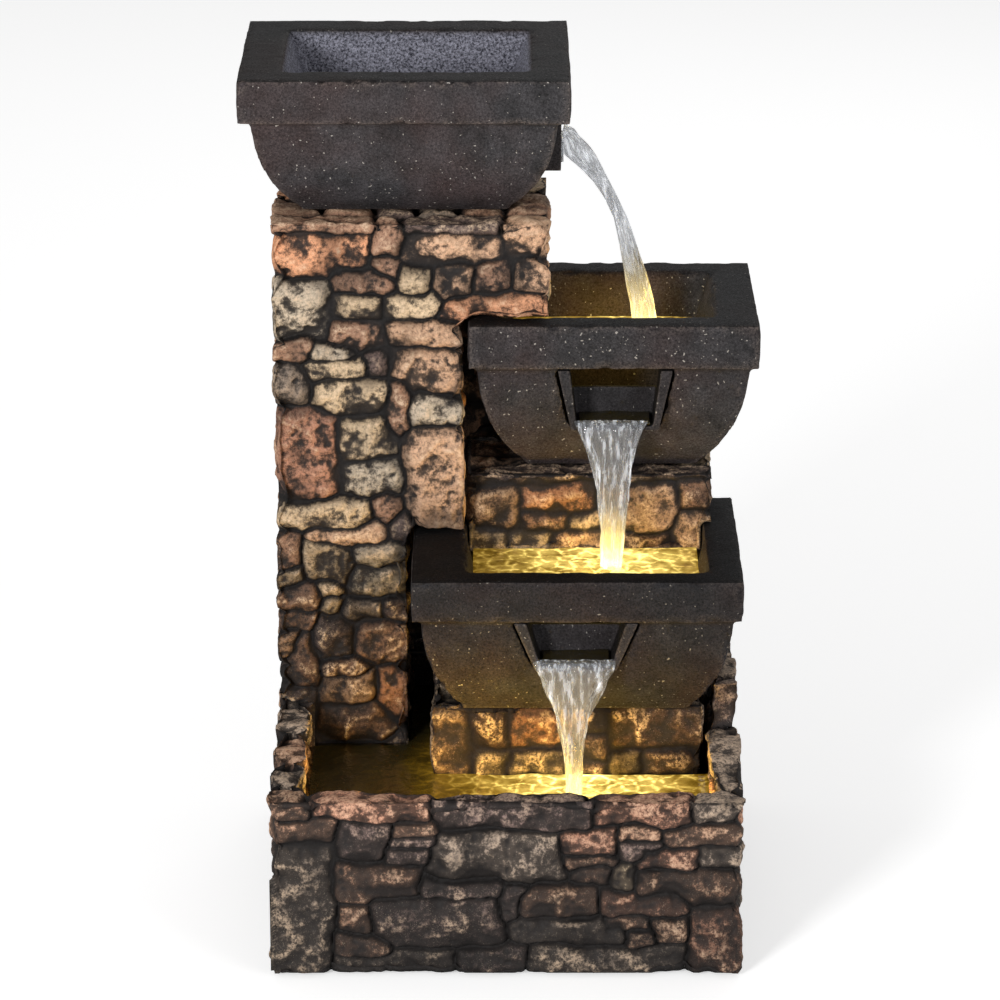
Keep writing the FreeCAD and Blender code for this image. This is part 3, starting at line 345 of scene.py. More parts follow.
class StoneWall:
    """Stones packed into a casting, as boxes with round corners, each a little turned."""

    def __init__(self, seed, roundness=0.6):
        self.rng = np.random.default_rng(seed)
        self.roundness = roundness
        self.centres = []
        self.halves = []
        self.turns = []
        self.tints = []

    def add(self, low, high, tint, face):
        """One stone, from corner to corner, turned in the plane of its face ('x', 'y' or 'z')."""
        low = np.array(low, dtype=float)
        high = np.array(high, dtype=float)
        self.centres.append((low + high) / 2)
        self.halves.append(np.maximum((high - low) / 2, 2.0))
        long_side = max(high - low)
        self.turns.append(np.array(Matrix.Rotation(self.rng.normal(0, 0.9 / long_side), 3, face.upper())))
        self.tints.append(np.array(STONE_TINTS[tint]) * self.rng.uniform(0.82, 1.2))

    def front(self, stones, face, depth):
        for left, right, low, high, tint in stones:
            back = face + depth * self.rng.uniform(0.85, 1.15)
            self.add((left, face, low), (right, back, high), tint, "y")

    def courses(self, axis, face, depth, along, up, heights=(9, 24), lengths=(16, 48), tints=None):
        """Rough courses of stones in a wall that looks along x or y. A negative depth lies below the face."""
        tints = tints or ("tan", "brown", "sand", "grey", "red", "ash", "brown", "orange")
        level = up[0]
        while level < up[1] - 3:
            course = min(self.rng.uniform(*heights), up[1] - level)
            if up[1] - level - course < heights[0] * 0.6:
                course = up[1] - level
            start = along[0]
            while start < along[1] - 3:
                length = min(self.rng.uniform(*lengths), along[1] - start)
                if along[1] - start - length < lengths[0] * 0.6:
                    length = along[1] - start
                pieces = [(level, level + course)]
                if course > 15 and self.rng.random() < 0.35:
                    split = level + course * self.rng.uniform(0.4, 0.6)
                    pieces = [(level, split), (split, level + course)]
                for low, high in pieces:
                    drop = self.rng.uniform(-1.2, 1.2)
                    ends = sorted((face, face + depth))
                    tint = tints[self.rng.integers(len(tints))]
                    below = (ends[0], start, low + drop)
                    above = (ends[1], start + length, high + drop)
                    if axis == "y":
                        below = (start, ends[0], low + drop)
                        above = (start + length, ends[1], high + drop)
                    self.add(below, above, tint, axis)
                start += length
            level += course

    def flags(self, across, along, top, depth, lengths=(18, 40), tints=("brown", "dark", "ash")):
        """Flat stones in a top face."""
        start = across[0]
        while start < across[1] - 3:
            width = min(self.rng.uniform(*lengths), across[1] - start)
            row = along[0]
            while row < along[1] - 3:
                length = min(self.rng.uniform(*lengths), along[1] - row)
                self.add((start, row, top - depth), (start + width, row + length, top),
                         tints[self.rng.integers(len(tints))], "z")
                row += length
            start += width

    def nearest(self, points):
        """For each point: its stone, how far it is outside that stone, and how far from the joint."""
        centres = np.array(self.centres)
        halves = np.array(self.halves)
        turns = np.array(self.turns)
        rounds = np.minimum(halves.min(axis=1) * self.roundness, 8 * self.roundness)
        owner = np.empty(len(points), dtype=int)
        outside = np.empty(len(points))
        joint = np.empty(len(points))
        for start in range(0, len(points), 8000):
            part = points[start:start + 8000]
            local = np.einsum("pmi,mij->pmj", part[:, None, :] - centres[None], turns)
            over = np.abs(local) - (halves - rounds[:, None])[None]
            reach = np.linalg.norm(np.maximum(over, 0), axis=2) - rounds[None]
            reach += np.minimum(over.max(axis=2), 0)
            first = reach.argmin(axis=1)
            rows = np.arange(len(part))
            nearest = reach[rows, first]
            reach[rows, first] = 1e9
            second = reach.min(axis=1)
            owner[start:start + 8000] = first
            outside[start:start + 8000] = nearest
            joint[start:start + 8000] = (second - nearest) / 2
        return owner, outside, joint

    def carve(self, piece, skin, seed, deepest, fade):
        """Cut the joints, round the stones and roughen them. Skin is 1 on the outer faces and 0 inside.

        Fade gives heights and how bright the stones are there: painted shade, the castings darker towards the
        foot.
        """
        mesh = piece.data
        points, normals = vertex_arrays(mesh)
        outer = np.flatnonzero(skin > INNER_SKIN)
        spots = points[outer]
        warped = spots + vector_field(spots, 17, seed) * 2.6 + vector_field(spots, 5.5, seed + 1) * 0.9
        owner, outside, joint = self.nearest(warped)
        inset = self.insets(spots, owner)
        fillet = np.clip(np.array(self.halves).min(axis=1)[owner] * 0.95, 2.0, 8.5)
        near = np.clip(1 - joint / fillet, 0, 1)
        round_edge = (1 - np.sqrt(1 - 0.97 * near ** 2)) * fillet * 0.68
        groove = 1.0 * np.exp(-(joint / 0.5) ** 2) + np.clip(outside, 0, 3) * 0.4
        facets = (np.abs(field(spots, 15, seed + 2)) - 0.25) * 2.2
        lumps = field(spots, 8, seed + 5) * 0.85
        chisel = field(spots, 3, seed + 3) * 0.5
        pits = np.clip(field(spots, 5, seed + 4) - 0.55, 0, 1) * 2.2
        depth = 0.5 + inset + round_edge + groove + facets + lumps + chisel + pits
        limit = deepest[outer] if isinstance(deepest, np.ndarray) else deepest
        moved = points.copy()
        moved[outer] -= normals[outer] * (np.clip(depth, 0.05, limit) * skin[outer])[:, None]
        move_vertices(mesh, moved)
        tint = np.full((len(points), 3), 0.02)
        # The tint carries the fade's painted shade, darker towards the foot.
        tint[outer] = np.array(self.tints)[owner] * np.interp(spots[:, 2], *fade)[:, None]
        shade = np.zeros(len(points))
        shade[outer] = np.clip(0.85 * np.exp(-(joint / 0.5) ** 2) + np.clip(outside - 0.5, 0, 2) * 0.3, 0, 1)
        new_points, new_normals = vertex_arrays(mesh)
        proud = np.clip(neighbour_bulge(mesh, new_points, new_normals) / 0.13, -1, 1) * 0.5
        relief = facets + lumps + 1.4 * chisel + pits
        # Painted light: the normal term makes up-facing faces lighter as if lit from above. The near term is
        # painted shade that darkens each stone towards its joints. The relief terms are the dry-brushed high
        # parts.
        proud[outer] += 0.42 - 0.6 * relief - 1.25 * near ** 1.7 + 0.55 * new_normals[outer, 2]
        add_colour(mesh, "stone_tint", tint)
        add_value(mesh, "joint_shade", shade)
        add_value(mesh, "proud", np.clip(proud, -1.5, 1.5))

    def insets(self, spots, owner):
        """How deep each stone's face lies, a little different for each stone and leaning one way."""
        count = len(self.centres)
        lean = self.rng.normal(0, 0.05, (count, 3))[owner]
        tilt = ((spots - np.array(self.centres)[owner]) * lean).sum(axis=1)
        return np.clip(self.rng.uniform(-0.2, 1.9, count)[owner] + np.clip(tilt, -1.2, 1.2), 0, 2.8)


def outer_skin(points, normals, boxes, reach=2.5):
    """1 where a short step outwards leaves every box, so on the outer faces only."""
    stepped = points + normals * reach
    inside = np.zeros(len(points), dtype=bool)
    for low, high in boxes:
        inside |= ((stepped > np.array(low)) & (stepped < np.array(high))).all(axis=1)
    return np.where(inside, 0.0, 1.0)


def away_from(points, low, high, fade):
    """0 inside a box, rising to 1 at a distance of fade around it."""
    gap = np.maximum(np.maximum(np.array(low) - points, points - np.array(high)), 0)
    return np.clip(np.linalg.norm(gap, axis=1) / fade, 0, 1)


# ---------------------------------------------------------------- shader helpers

def new_group(name, **defaults):
    """An empty effect: it is given a place and the named inputs, and results in a colour and a surface."""
    group = bpy.data.node_groups.new(name, "ShaderNodeTree")
    group.interface.new_socket("Vector", in_out="INPUT", socket_type="NodeSocketVector")
    for label, value in defaults.items():
        kind = "NodeSocketColor" if isinstance(value, tuple) else "NodeSocketFloat"
        group.interface.new_socket(label, in_out="INPUT", socket_type=kind).default_value = value
    for label, kind in (("Colour", "Color"), ("Roughness", "Float"), ("Height", "Float")):
        group.interface.new_socket(label, in_out="OUTPUT", socket_type="NodeSocket" + kind)
    return group, group.nodes.new("NodeGroupInput").outputs, group.nodes.new("NodeGroupOutput")


def fill(tree, node, inputs):
    """Set a node's inputs to values, or join them to other nodes' outputs."""
    for key, value in inputs.items():
        if isinstance(value, bpy.types.NodeSocket):
            tree.links.new(value, node.inputs[key])
        else:
            node.inputs[key].default_value = value


def put(tree, kind, inputs=None, **settings):
    """A new shader node with its settings and its inputs."""
    node = tree.nodes.new("ShaderNode" + kind)
    for key, value in settings.items():
        setattr(node, key, value)
    fill(tree, node, inputs or {})
    return node


def noise_value(tree, vector, scale, detail=4.0, rough=0.6):
    inputs = {"Vector": vector, "Scale": scale, "Detail": detail, "Roughness": rough}
    return put(tree, "TexNoise", inputs).outputs[0]


def ramp(tree, value, low, high, start=0.0, end=1.0):
    """A value that runs from start to end as the input goes from low to high."""
    limits = {"From Min": low, "From Max": high, "To Min": start, "To Max": end}
    node = put(tree, "MapRange", {"Value": value, **limits})
    node.clamp = True
    return node.outputs["Result"]


def maths(tree, operation, first, second):
    return put(tree, "Math", {0: first, 1: second}, operation=operation).outputs[0]


def times(tree, first, second):
    return maths(tree, "MULTIPLY", first, second)


def weighted(tree, start, *parts):
    """The start value plus each part times its weight, where a part comes as (value, weight)."""
    for value, weight in parts:
        start = maths(tree, "ADD", start, times(tree, value, weight))
    return start


def around_zero(tree, noise):
    return maths(tree, "SUBTRACT", noise, 0.5)


def attribute(tree, name, output="Fac"):
    return put(tree, "Attribute", attribute_name=name).outputs[output]


def blend_colours(tree, factor, first, second):
    node = put(tree, "Mix", data_type="RGBA")
    for key, value in (("Factor", factor), ("A", first), ("B", second)):
        socket = [s for s in node.inputs if s.name == key and s.enabled and s.type in ("VALUE", "RGBA")]
        socket = socket[0] if key == "Factor" else [s for s in socket if s.type == "RGBA"][0]
        if isinstance(value, bpy.types.NodeSocket):
            tree.links.new(value, socket)
        else:
            socket.default_value = value if key == "Factor" else (*value, 1)
    return [s for s in node.outputs if s.type == "RGBA"][0]


def bright(tree, colour, factor):
    """The colour times a value."""
    return put(tree, "VectorMath", {0: colour, 1: factor}, operation="MULTIPLY").outputs[0]


def stone_group():
    """Cast stone: a dark wash under a dry-brushed coat that catches the grain and the high edges, with
    painted light and shade carried in through Proud.
    """
    group, given, result = new_group("weathered stone", Tint=(0.2, 0.15, 0.1, 1), Joint=0.0, Proud=0.0,
                                     Brush=0.5)
    where = given["Vector"]
    tone = given["Tint"]
    proud = given["Proud"]
    brush = given["Brush"]
    broad = noise_value(group, where, 55, 2)
    blotch = noise_value(group, where, 170, 5, 0.65)
    grain = noise_value(group, where, 620, 5, 0.75)
    speck = noise_value(group, where, 2400, 1, 0.5)
    under = bright(group, tone, ramp(group, blotch, 0.3, 0.7, 0.2, 0.42))
    under = blend_colours(group, 0.4, under, linear(46, 40, 38))
    over = bright(group, tone, ramp(group, grain, 0.35, 0.7, 0.75, 1.7))
    coat = weighted(group, brush, (around_zero(group, grain), 4.6), (around_zero(group, blotch), 1.8),
                    (around_zero(group, broad), 1.6), (proud, 0.8))
    tint = blend_colours(group, ramp(group, coat, 0.0, 1.0), under, over)
    # Crest: a dry-brushed highlight, partly a painted highlight since Proud holds the painted light from
    # above.
    crest = times(group, ramp(group, proud, 0.35, 1.3), ramp(group, grain, 0.44, 0.6))
    crest = times(group, crest, ramp(group, brush, -0.3, 0.5, 0.45, 0.8))
    tint = blend_colours(group, crest, tint, linear(226, 196, 164))
    flecks = times(group, ramp(group, speck, 0.68, 0.74), 0.4)
    tint = blend_colours(group, flecks, tint, linear(206, 190, 166))
    # Hollow: a dark wash in the recesses, partly painted shade since Proud holds the painted shade near the
    # joints.
    hollow = times(group, ramp(group, proud, -0.1, -1.2), 0.85)
    tint = blend_colours(group, hollow, tint, linear(33, 29, 28))
    tint = blend_colours(group, given["Joint"], tint, linear(20, 16, 15))
    rough = ramp(group, grain, 0.3, 0.7, 0.9, 0.6)
    height = weighted(group, times(group, blotch, 0.8), (grain, 0.7), (speck, 0.15))
    fill(group, result, {"Colour": tint, "Roughness": rough, "Height": height})
    return group


def slate_group():
    """Dark cast slate: sandy grain, faint rusty clouds, dust on worn edges and a few pale flecks, with
    painted shade and a painted light level.
    """
    group, given, result = new_group("dark slate", Proud=0.0, Rust=1.0, Pale=0.0, Damp=0.0, Shade=1.0)
    where = given["Vector"]
    patch = noise_value(group, where, 17, 3, 0.55)
    cloud = noise_value(group, where, 75, 5, 0.6)
    sand = noise_value(group, where, 900, 4, 0.8)
    grit = noise_value(group, where, 2300, 2, 0.6)
    fleck = noise_value(group, where, 800, 0, 0.5)
    base = blend_colours(group, ramp(group, cloud, 0.3, 0.7), linear(38, 37, 38), linear(60, 58, 60))
    rust = times(group, ramp(group, patch, 0.4, 0.68, 0.0, 0.45), given["Rust"])
    base = blend_colours(group, rust, base, linear(66, 46, 42))
    base = bright(group, base, ramp(group, sand, 0.32, 0.68, 0.35, 1.7))
    base = bright(group, base, ramp(group, grit, 0.3, 0.7, 0.7, 1.3))
    worn = times(group, ramp(group, given["Proud"], 0.25, 1.0),
                 ramp(group, sand, 0.4, 0.65, 0.0, 0.4))
    base = blend_colours(group, worn, base, linear(134, 120, 110))
    base = blend_colours(group, ramp(group, fleck, 0.79, 0.82, 0.0, 0.6), base, linear(190, 184, 176))
    # Painted shade: darkens up-facing rims and a spout's inside.
    base = bright(group, base, ramp(group, given["Damp"], 0.3, 1.0, 1.0, 0.3))
    # Painted light: each piece's slate made lighter or darker as it is lit.
    base = bright(group, base, given["Shade"])
    dusty = blend_colours(group, ramp(group, sand, 0.4, 0.62), linear(40, 40, 48), linear(160, 160, 174))
    base = blend_colours(group, given["Pale"], base, dusty)
    rough = ramp(group, sand, 0.3, 0.7, 0.8, 0.52)
    height = weighted(group, times(group, sand, 0.9), (grit, 0.35), (cloud, 0.6))
    fill(group, result, {"Colour": base, "Roughness": rough, "Height": height})
    return group


def moulded_group():
    """Moulded surface: faint flow marks, a fine spark texture and settled dust."""
    group, given, result = new_group("moulded surface", Base=(0.03, 0.03, 0.03, 1), Dust=0.3, Smooth=0.4)
    where = given["Vector"]
    flow = noise_value(group, where, 60, 3)
    spark = noise_value(group, where, 2200, 2, 0.6)
    smear = noise_value(group, where, 240, 5, 0.7)
    base = bright(group, given["Base"], ramp(group, flow, 0.3, 0.7, 0.82, 1.2))
    dust = times(group, ramp(group, smear, 0.48, 0.72), given["Dust"])
    base = blend_colours(group, dust, base, linear(142, 134, 122))
    rough = maths(group, "ADD", given["Smooth"], ramp(group, smear, 0.3, 0.7, -0.06, 0.16))
    height = weighted(group, spark, (smear, 0.4))
    fill(group, result, {"Colour": base, "Roughness": rough, "Height": height})
    return group


GROUPS = {}


def shared(name):
    if name not in GROUPS:
        GROUPS[name] = {"stone": stone_group, "slate": slate_group, "moulded": moulded_group}[name]()
    return GROUPS[name]


def new_material(name):
    material = bpy.data.materials.new(name)
    material.use_nodes = True
    tree = material.node_tree
    return material, tree, tree.nodes["Principled BSDF"]


def roughen(tree, shader, height, strength, distance):
    relief = put(tree, "Bump", {"Strength": strength, "Distance": distance * MM, "Height": height})
    fill(tree, shader, {"Normal": relief.outputs["Normal"]})


def finish(tree, shader, effect, bump, distance):
    """Join an effect's colour, roughness and height to the shader."""
    given = effect.outputs
    fill(tree, shader, {"Base Color": given["Colour"], "Roughness": given["Roughness"]})
    roughen(tree, shader, given["Height"], bump, distance)


def object_place(tree):
    return put(tree, "TexCoord").outputs["Object"]


def use_group(tree, name, inputs):
    node = tree.nodes.new("ShaderNodeGroup")
    node.node_tree = shared(name)
    fill(tree, node, {"Vector": object_place(tree), **inputs})
    return node


def stone_material(name, brush):
    material, tree, shader = new_material(name)
    effect = use_group(tree, "stone", {
        "Tint": attribute(tree, "stone_tint", "Color"), "Joint": attribute(tree, "joint_shade"),
        "Proud": attribute(tree, "proud"), "Brush": brush})
    finish(tree, shader, effect, 0.55, 0.5)
    fill(tree, shader, {"Specular IOR Level": 0.35})
    return material


def slate_material(name, rust, shade):
    # Shade is the piece's painted light level: lighter or darker as it is lit.
    material, tree, shader = new_material(name)
    effect = use_group(tree, "slate", {
        "Proud": attribute(tree, "proud"), "Rust": rust, "Pale": attribute(tree, "dry_inside"),
        "Damp": attribute(tree, "painted_shade"), "Shade": shade})
    finish(tree, shader, effect, 0.6, 0.45)
    fill(tree, shader, {"Specular IOR Level": 0.15})
    return material


def moulded_material(name, colour, smooth, dust, metal):
    material, tree, shader = new_material(name)
    effect = use_group(tree, "moulded", {"Base": (*colour, 1), "Dust": dust, "Smooth": smooth})
    finish(tree, shader, effect, 0.25, 0.06)
    fill(tree, shader, {"Metallic": metal})
    return material


def floor_material():
    material, tree, shader = new_material("pale floor")
    seen = put(tree, "LightPath").outputs["Is Camera Ray"]
    fill(tree, shader, {"Base Color": (0.9, 0.9, 0.9, 1), "Roughness": 0.7, "Emission Color": seen,
                        "Emission Strength": FLOOR_GLOW})
    return material


# ---------------------------------------------------------------- castings

def skin_of_boxes(piece, boxes):
    points, normals = vertex_arrays(piece.data)
    return points, normals, outer_skin(points, normals, boxes)


def show(piece, material, node):
    """Give a finished copy its material, and show it in place of its packed casting."""
    shade_smooth(piece)
    piece.data.materials.append(material)
    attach(piece, "fountain")
    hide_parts(node)


def at_backing(points):
    """0 where the pillar's backing stands on the basin's rear rim, so that no gap is carved there."""
    return away_from(points, (-46, 81, 83), (-14, 96, 92), 3)


def make_pillar():
    low, high = in_mm("stone_pillar")
    middle_low, middle_high = in_mm("middle_bowl")
    lower_low, lower_high = in_mm("lower_bowl")
    block_low, block_high = in_mm("middle_bowl_support")
    door_low, door_high = in_mm("rear_access_panel")
    opening = (door_low - Vector((2, 12, 2)), door_high + Vector((2, 2, 9)))
    base_high = in_mm("base_basin")[1]
    foot_right = lower_low.x - 1
    foot_top = lower_high.z + 0.5
    column_right = middle_low.x - 0.8
    head_bottom = middle_high.z + 0.5
    boxes = [
        ((low.x, low.y, 5), (foot_right, high.y, foot_top)),
        ((low.x, low.y, foot_top), (column_right, high.y, head_bottom)),
        ((low.x, low.y, head_bottom), high),
        ((column_right - 1, 60, block_high.z), (14, high.y, head_bottom)),
        ((foot_right - 1, high.y - 10, base_high.z - 20), (column_right, high.y, foot_top)),
    ]
    piece = even_copy("stone_pillar", "stone_pillar_skin", 1.5)
    refine(piece, lambda c, n: n.y < -0.8 and c.y < low.y + 2 and c.z > 55)

    def skin_now():
        """The outer skin, faded out round the access panel."""
        points, _, skin = skin_of_boxes(piece, boxes)
        return points, skin * away_from(points, *opening, 5)

    simplify(piece, skin_now()[1] <= INNER_SKIN)
    points, skin = skin_now()
    against = (points[:, 0] > column_right - 3) & (points[:, 1] > block_low.y + 3)
    against &= (points[:, 2] > block_low.z + 18) & (points[:, 2] < block_high.z)
    skin = np.where(against, 0.0, skin) * at_backing(points)
    wall = StoneWall(11, 0.8)
    wall.front(PILLAR_STONES, low.y, 19)
    along = (low.y + 20, high.y - 22)
    wall.courses("x", low.x, 24, along, (60, high.z))
    wall.courses("y", high.y, -22, (low.x, high.x), (60, high.z))
    wall.courses("x", foot_right, -20, along, (20, lower_high.z))
    wall.courses("x", column_right, -20, along, (lower_high.z, head_bottom))
    wall.courses("x", high.x, -22, along, (head_bottom, high.z), heights=(14, 24))
    wall.flags((low.x + 24, high.x - 22), along, high.z, 14)
    # Fade: painted shade, the pillar's stones darker towards the foot.
    wall.carve(piece, skin, 3, 6.8, ((60, 150, 205), (0.26, 0.5, 1.22)))
    show(piece, stone_material("pillar stone", 0.8), "stone_pillar")


def make_basin():
    low, high = in_mm("base_basin")
    rim = in_mm("lower_bowl")[0].z - 12.5
    inner_left = low.x + 18
    inner_right = high.x - 16.4
    inner_back = high.y - 10
    gland_low, gland_high = in_mm("cord_gland")
    boxes = [((low.x, low.y, low.z), (high.x, high.y, rim)), ((99, -20, rim - 1), (high.x, high.y, high.z))]
    piece = even_copy("base_basin", "stone_basin_skin", 1.5)
    refine(piece, lambda c, n: n.y < -0.8 and c.y < low.y + 2)

    def skin_now():
        """The outer skin and the inner walls above the water, but not the underside or by the gland."""
        points, normals, skin = skin_of_boxes(piece, boxes)
        inside = (points[:, 2] > BASIN_WATER - 14) & (points[:, 0] < 98) & (points[:, 1] < 60)
        in_chamber = (points[:, 0] < -42) & (points[:, 1] > 4)
        skin = np.where(inside & ~in_chamber, 1.0, skin)
        skin = np.where((points[:, 2] < low.z + 3) & (normals[:, 2] < -0.8), 0.0, skin)
        skin *= away_from(points, gland_low - Vector((1, 12, 1)), gland_high + Vector((1, 2, 1)), 4)
        return skin * at_backing(points)

    simplify(piece, skin_now() <= INNER_SKIN)
    skin = skin_now()
    wall = StoneWall(23)
    wall.front(BASIN_STONES, low.y, 18)
    dark = ("dark", "brown", "ash", "red", "brown", "dark")
    start = low.y + 19
    left_rim = ((start, -72, "ash"), (-71, -34, "brown"), (-33, 4, "ash"), (5, 50, "brown"), (51, 93, "dark"))
    for front, back, tint in left_rim:
        wall.add((low.x, front, rim - 17), (inner_left, back, rim), tint, "x")
    wall.add((inner_right, start + 1, rim - 14), (high.x, -25, rim), "ash", "x")
    wall.courses("x", low.x, 18.5, (start, high.y), (low.z, rim - 18), tints=dark)
    wall.courses("x", high.x, -17, (start, -22), (low.z, rim - 15), tints=dark, lengths=(30, 60))
    wall.courses("x", high.x, -17, (-22, high.y), (low.z, high.z), tints=dark)
    wall.courses("y", high.y, -11, (low.x + 20, high.x - 18), (low.z, rim), tints=dark)
    points = vertex_arrays(piece.data)[0]
    thin = ((points[:, 0] < low.x + 7) & (points[:, 1] > 0)) | (points[:, 1] > inner_back)
    # Fade: painted shade, the basin's stones darker towards the bottom.
    wall.carve(piece, skin, 7, np.where(thin, 4.4, 7.5), ((0, 40, 75, 88), (0.48, 0.95, 1.75, 1.55)))
    points = vertex_arrays(piece.data)[0]
    lowest = points[:, 2] < low.z + 1.2
    under_edge = 3.5
    for axis in (0, 1):
        points[lowest, axis] = np.clip(points[lowest, axis], low[axis] + under_edge, high[axis] - under_edge)
    move_vertices(piece.data, points)
    show(piece, stone_material("basin stone", -0.15), "base_basin")


def make_block(node, stones, seed, name):
    low, high = in_mm(node)
    piece = even_copy(node, name, 1.2)
    if node == "lower_bowl_support":
        body_low, body_high = in_mm("lower_bowl")
        boxes = [((low.x, low.y, low.z - 5), (high.x, high.y, body_low.z)),
                 ((low.x, body_high.y + 0.5, body_low.z - 1), (high.x, high.y, high.z))]
    else:
        boxes = [((low.x - 1, low.y, low.z - 5), (high.x, high.y, high.z))]
    simplify(piece, skin_of_boxes(piece, boxes)[2] <= INNER_SKIN)
    points, normals, skin = skin_of_boxes(piece, boxes)
    skin = np.where((normals[:, 2] < -0.8) & (points[:, 2] < low.z + 4), 0.0, skin)
    if node == "middle_bowl_support":
        skin = np.where((points[:, 0] < low.x + 2) & (points[:, 1] > low.y + 3), 0.0, skin)
    wall = StoneWall(seed)
    wall.front(stones, low.y, 16)
    wall.courses("x", low.x, 14, (low.y + 16, high.y - 14), (low.z, high.z))
    wall.courses("x", high.x, -14, (low.y + 16, high.y - 14), (low.z, high.z))
    wall.courses("y", high.y, -14, (low.x, high.x), (low.z, high.z))
    # Fade: painted shade, the lower block (below z 120) much darker than the middle block.
    wall.carve(piece, skin, seed, 5.0, ((0, 120, 121, 400), (0.16, 0.16, 0.5, 0.5)))
    show(piece, stone_material(name.replace("_", " "), 0.5), node)


def make_bowl(node, name, seed, dry, shade):
    """A cast bowl: softened edges, faint hand-worked waviness and a few chips."""
    piece = even_copy(node, name, 1.25)
    mesh = piece.data
    points, normals = vertex_arrays(mesh)
    low, high = in_mm(node)
    sharp = neighbour_bulge(mesh, points, normals, 6)
    edge = np.clip(sharp / 0.5, 0, 1)
    chips = np.clip(field(points, 6, seed) - 0.1, 0, 1)
    depth = 0.35 + 0.3 * field(points, 22, seed + 1) + 0.12 * field(points, 4, seed + 2)
    depth += edge * (0.5 + 1.2 * chips)
    depth = np.maximum(depth, 0.02)
    seat = np.clip((points[:, 2] - low.z) / 2, 0, 1)
    moved = points - normals * (depth * seat)[:, None]
    move_vertices(mesh, moved)
    new_points, new_normals = vertex_arrays(mesh)
    proud = neighbour_bulge(mesh, new_points, new_normals, 5)
    add_value(mesh, "proud", np.clip(proud / 0.35, 0, 1))
    inside = np.zeros(len(points))
    if dry:
        hopper = (points[:, 0] > low.x + 21) & (points[:, 0] < high.x - 19) & (normals[:, 2] > 0.05)
        hopper &= (points[:, 1] > low.y + 20.5) & (points[:, 1] < high.y - 21)
        inside = np.where(hopper, np.clip((high.z - points[:, 2] - 0.5) / 3, 0, 1), 0.0)
    add_value(mesh, "dry_inside", inside)
    spout_low, spout_high = in_mm(node.replace("bowl", "spout"))
    # Painted shade: up-facing faces outside the hopper and the inside round the spout are darkened.
    by_spout = (1 - away_from(points, spout_low, spout_high, 3)) * np.clip(1 + 1.5 * normals[:, 1], 0, 1)
    add_value(mesh, "painted_shade", np.maximum(np.clip(new_normals[:, 2], 0, 1) * (1 - inside), by_spout))
    show(piece, slate_material(name.replace("_", " "), 1.0, shade), node)


def make_spout(node, name):
    """A cast spout with softly worn edges."""
    piece = even_copy(node, name, 0.7)
    mesh = piece.data
    points, normals = vertex_arrays(mesh)
    edge = np.clip(neighbour_bulge(mesh, points, normals, 5) / 0.4, 0, 1)
    depth = 0.12 + 0.06 * field(points, 6, 3) + edge * 0.35
    move_vertices(mesh, points - normals * np.maximum(depth, 0.01)[:, None])
    add_value(mesh, "proud", edge)
    add_value(mesh, "dry_inside", np.zeros(len(points)))
    # Painted shade: all faces but the front ones are darkened, so the spout's inside reads dark. The 0.9
    # below is its painted light level.
    add_value(mesh, "painted_shade", np.clip(1.2 + 1.5 * np.minimum(normals[:, 1], 0), 0, 1))
    show(piece, slate_material(name.replace("_", " "), 0.4, 0.9), node)


# ---------------------------------------------------------------- water

def stretched(tree, across, up):
    """Object places scaled apart, so that noise runs in streaks along the fall."""
    return put(tree, "Mapping", {"Vector": object_place(tree), "Scale": (across, across, up)}).outputs[0]


def falling_water_material(name, bottom, top):
    """Clear water in strands, with painted highlights in white streaks, and painted yellow light where it
    nears the pool.
    """
    material, tree, shader = new_material(name)
    streaks = noise_value(tree, stretched(tree, 1, 0.09), 420, 3, 0.6)
    ripples = noise_value(tree, stretched(tree, 1, 0.35), 260, 3, 0.6)
    height = put(tree, "SeparateXYZ", {0: object_place(tree)}).outputs["Z"]
    low_down = ramp(tree, height, (bottom + (top - bottom) * 0.45) * MM, bottom * MM)
    glow = bright(tree, blend_colours(tree, streaks, (1.0, 0.62, 0.1), (1.0, 0.9, 0.5)), low_down)
    painted_glints = bright(tree, (0.5, 0.52, 0.55), ramp(tree, streaks, 0.52, 0.7))
    clear = blend_colours(tree, ramp(tree, streaks, 0.3, 0.6), (0.72, 0.74, 0.78), (0.97, 0.98, 1.0))
    # The emission paints the light: white streak highlights, and yellow light from the lamp below near the
    # pool.
    fill(tree, shader, {
        "Emission Color": blend_colours(tree, low_down, painted_glints, glow), "Emission Strength": 0.8,
        "Roughness": ramp(tree, streaks, 0.4, 0.7, 0.04, 0.4), "Base Color": clear,
        "Transmission Weight": 0.9, "IOR": 1.33})
    roughen(tree, shader, maths(tree, "ADD", ripples, streaks), 0.7, 1.2)
    return material


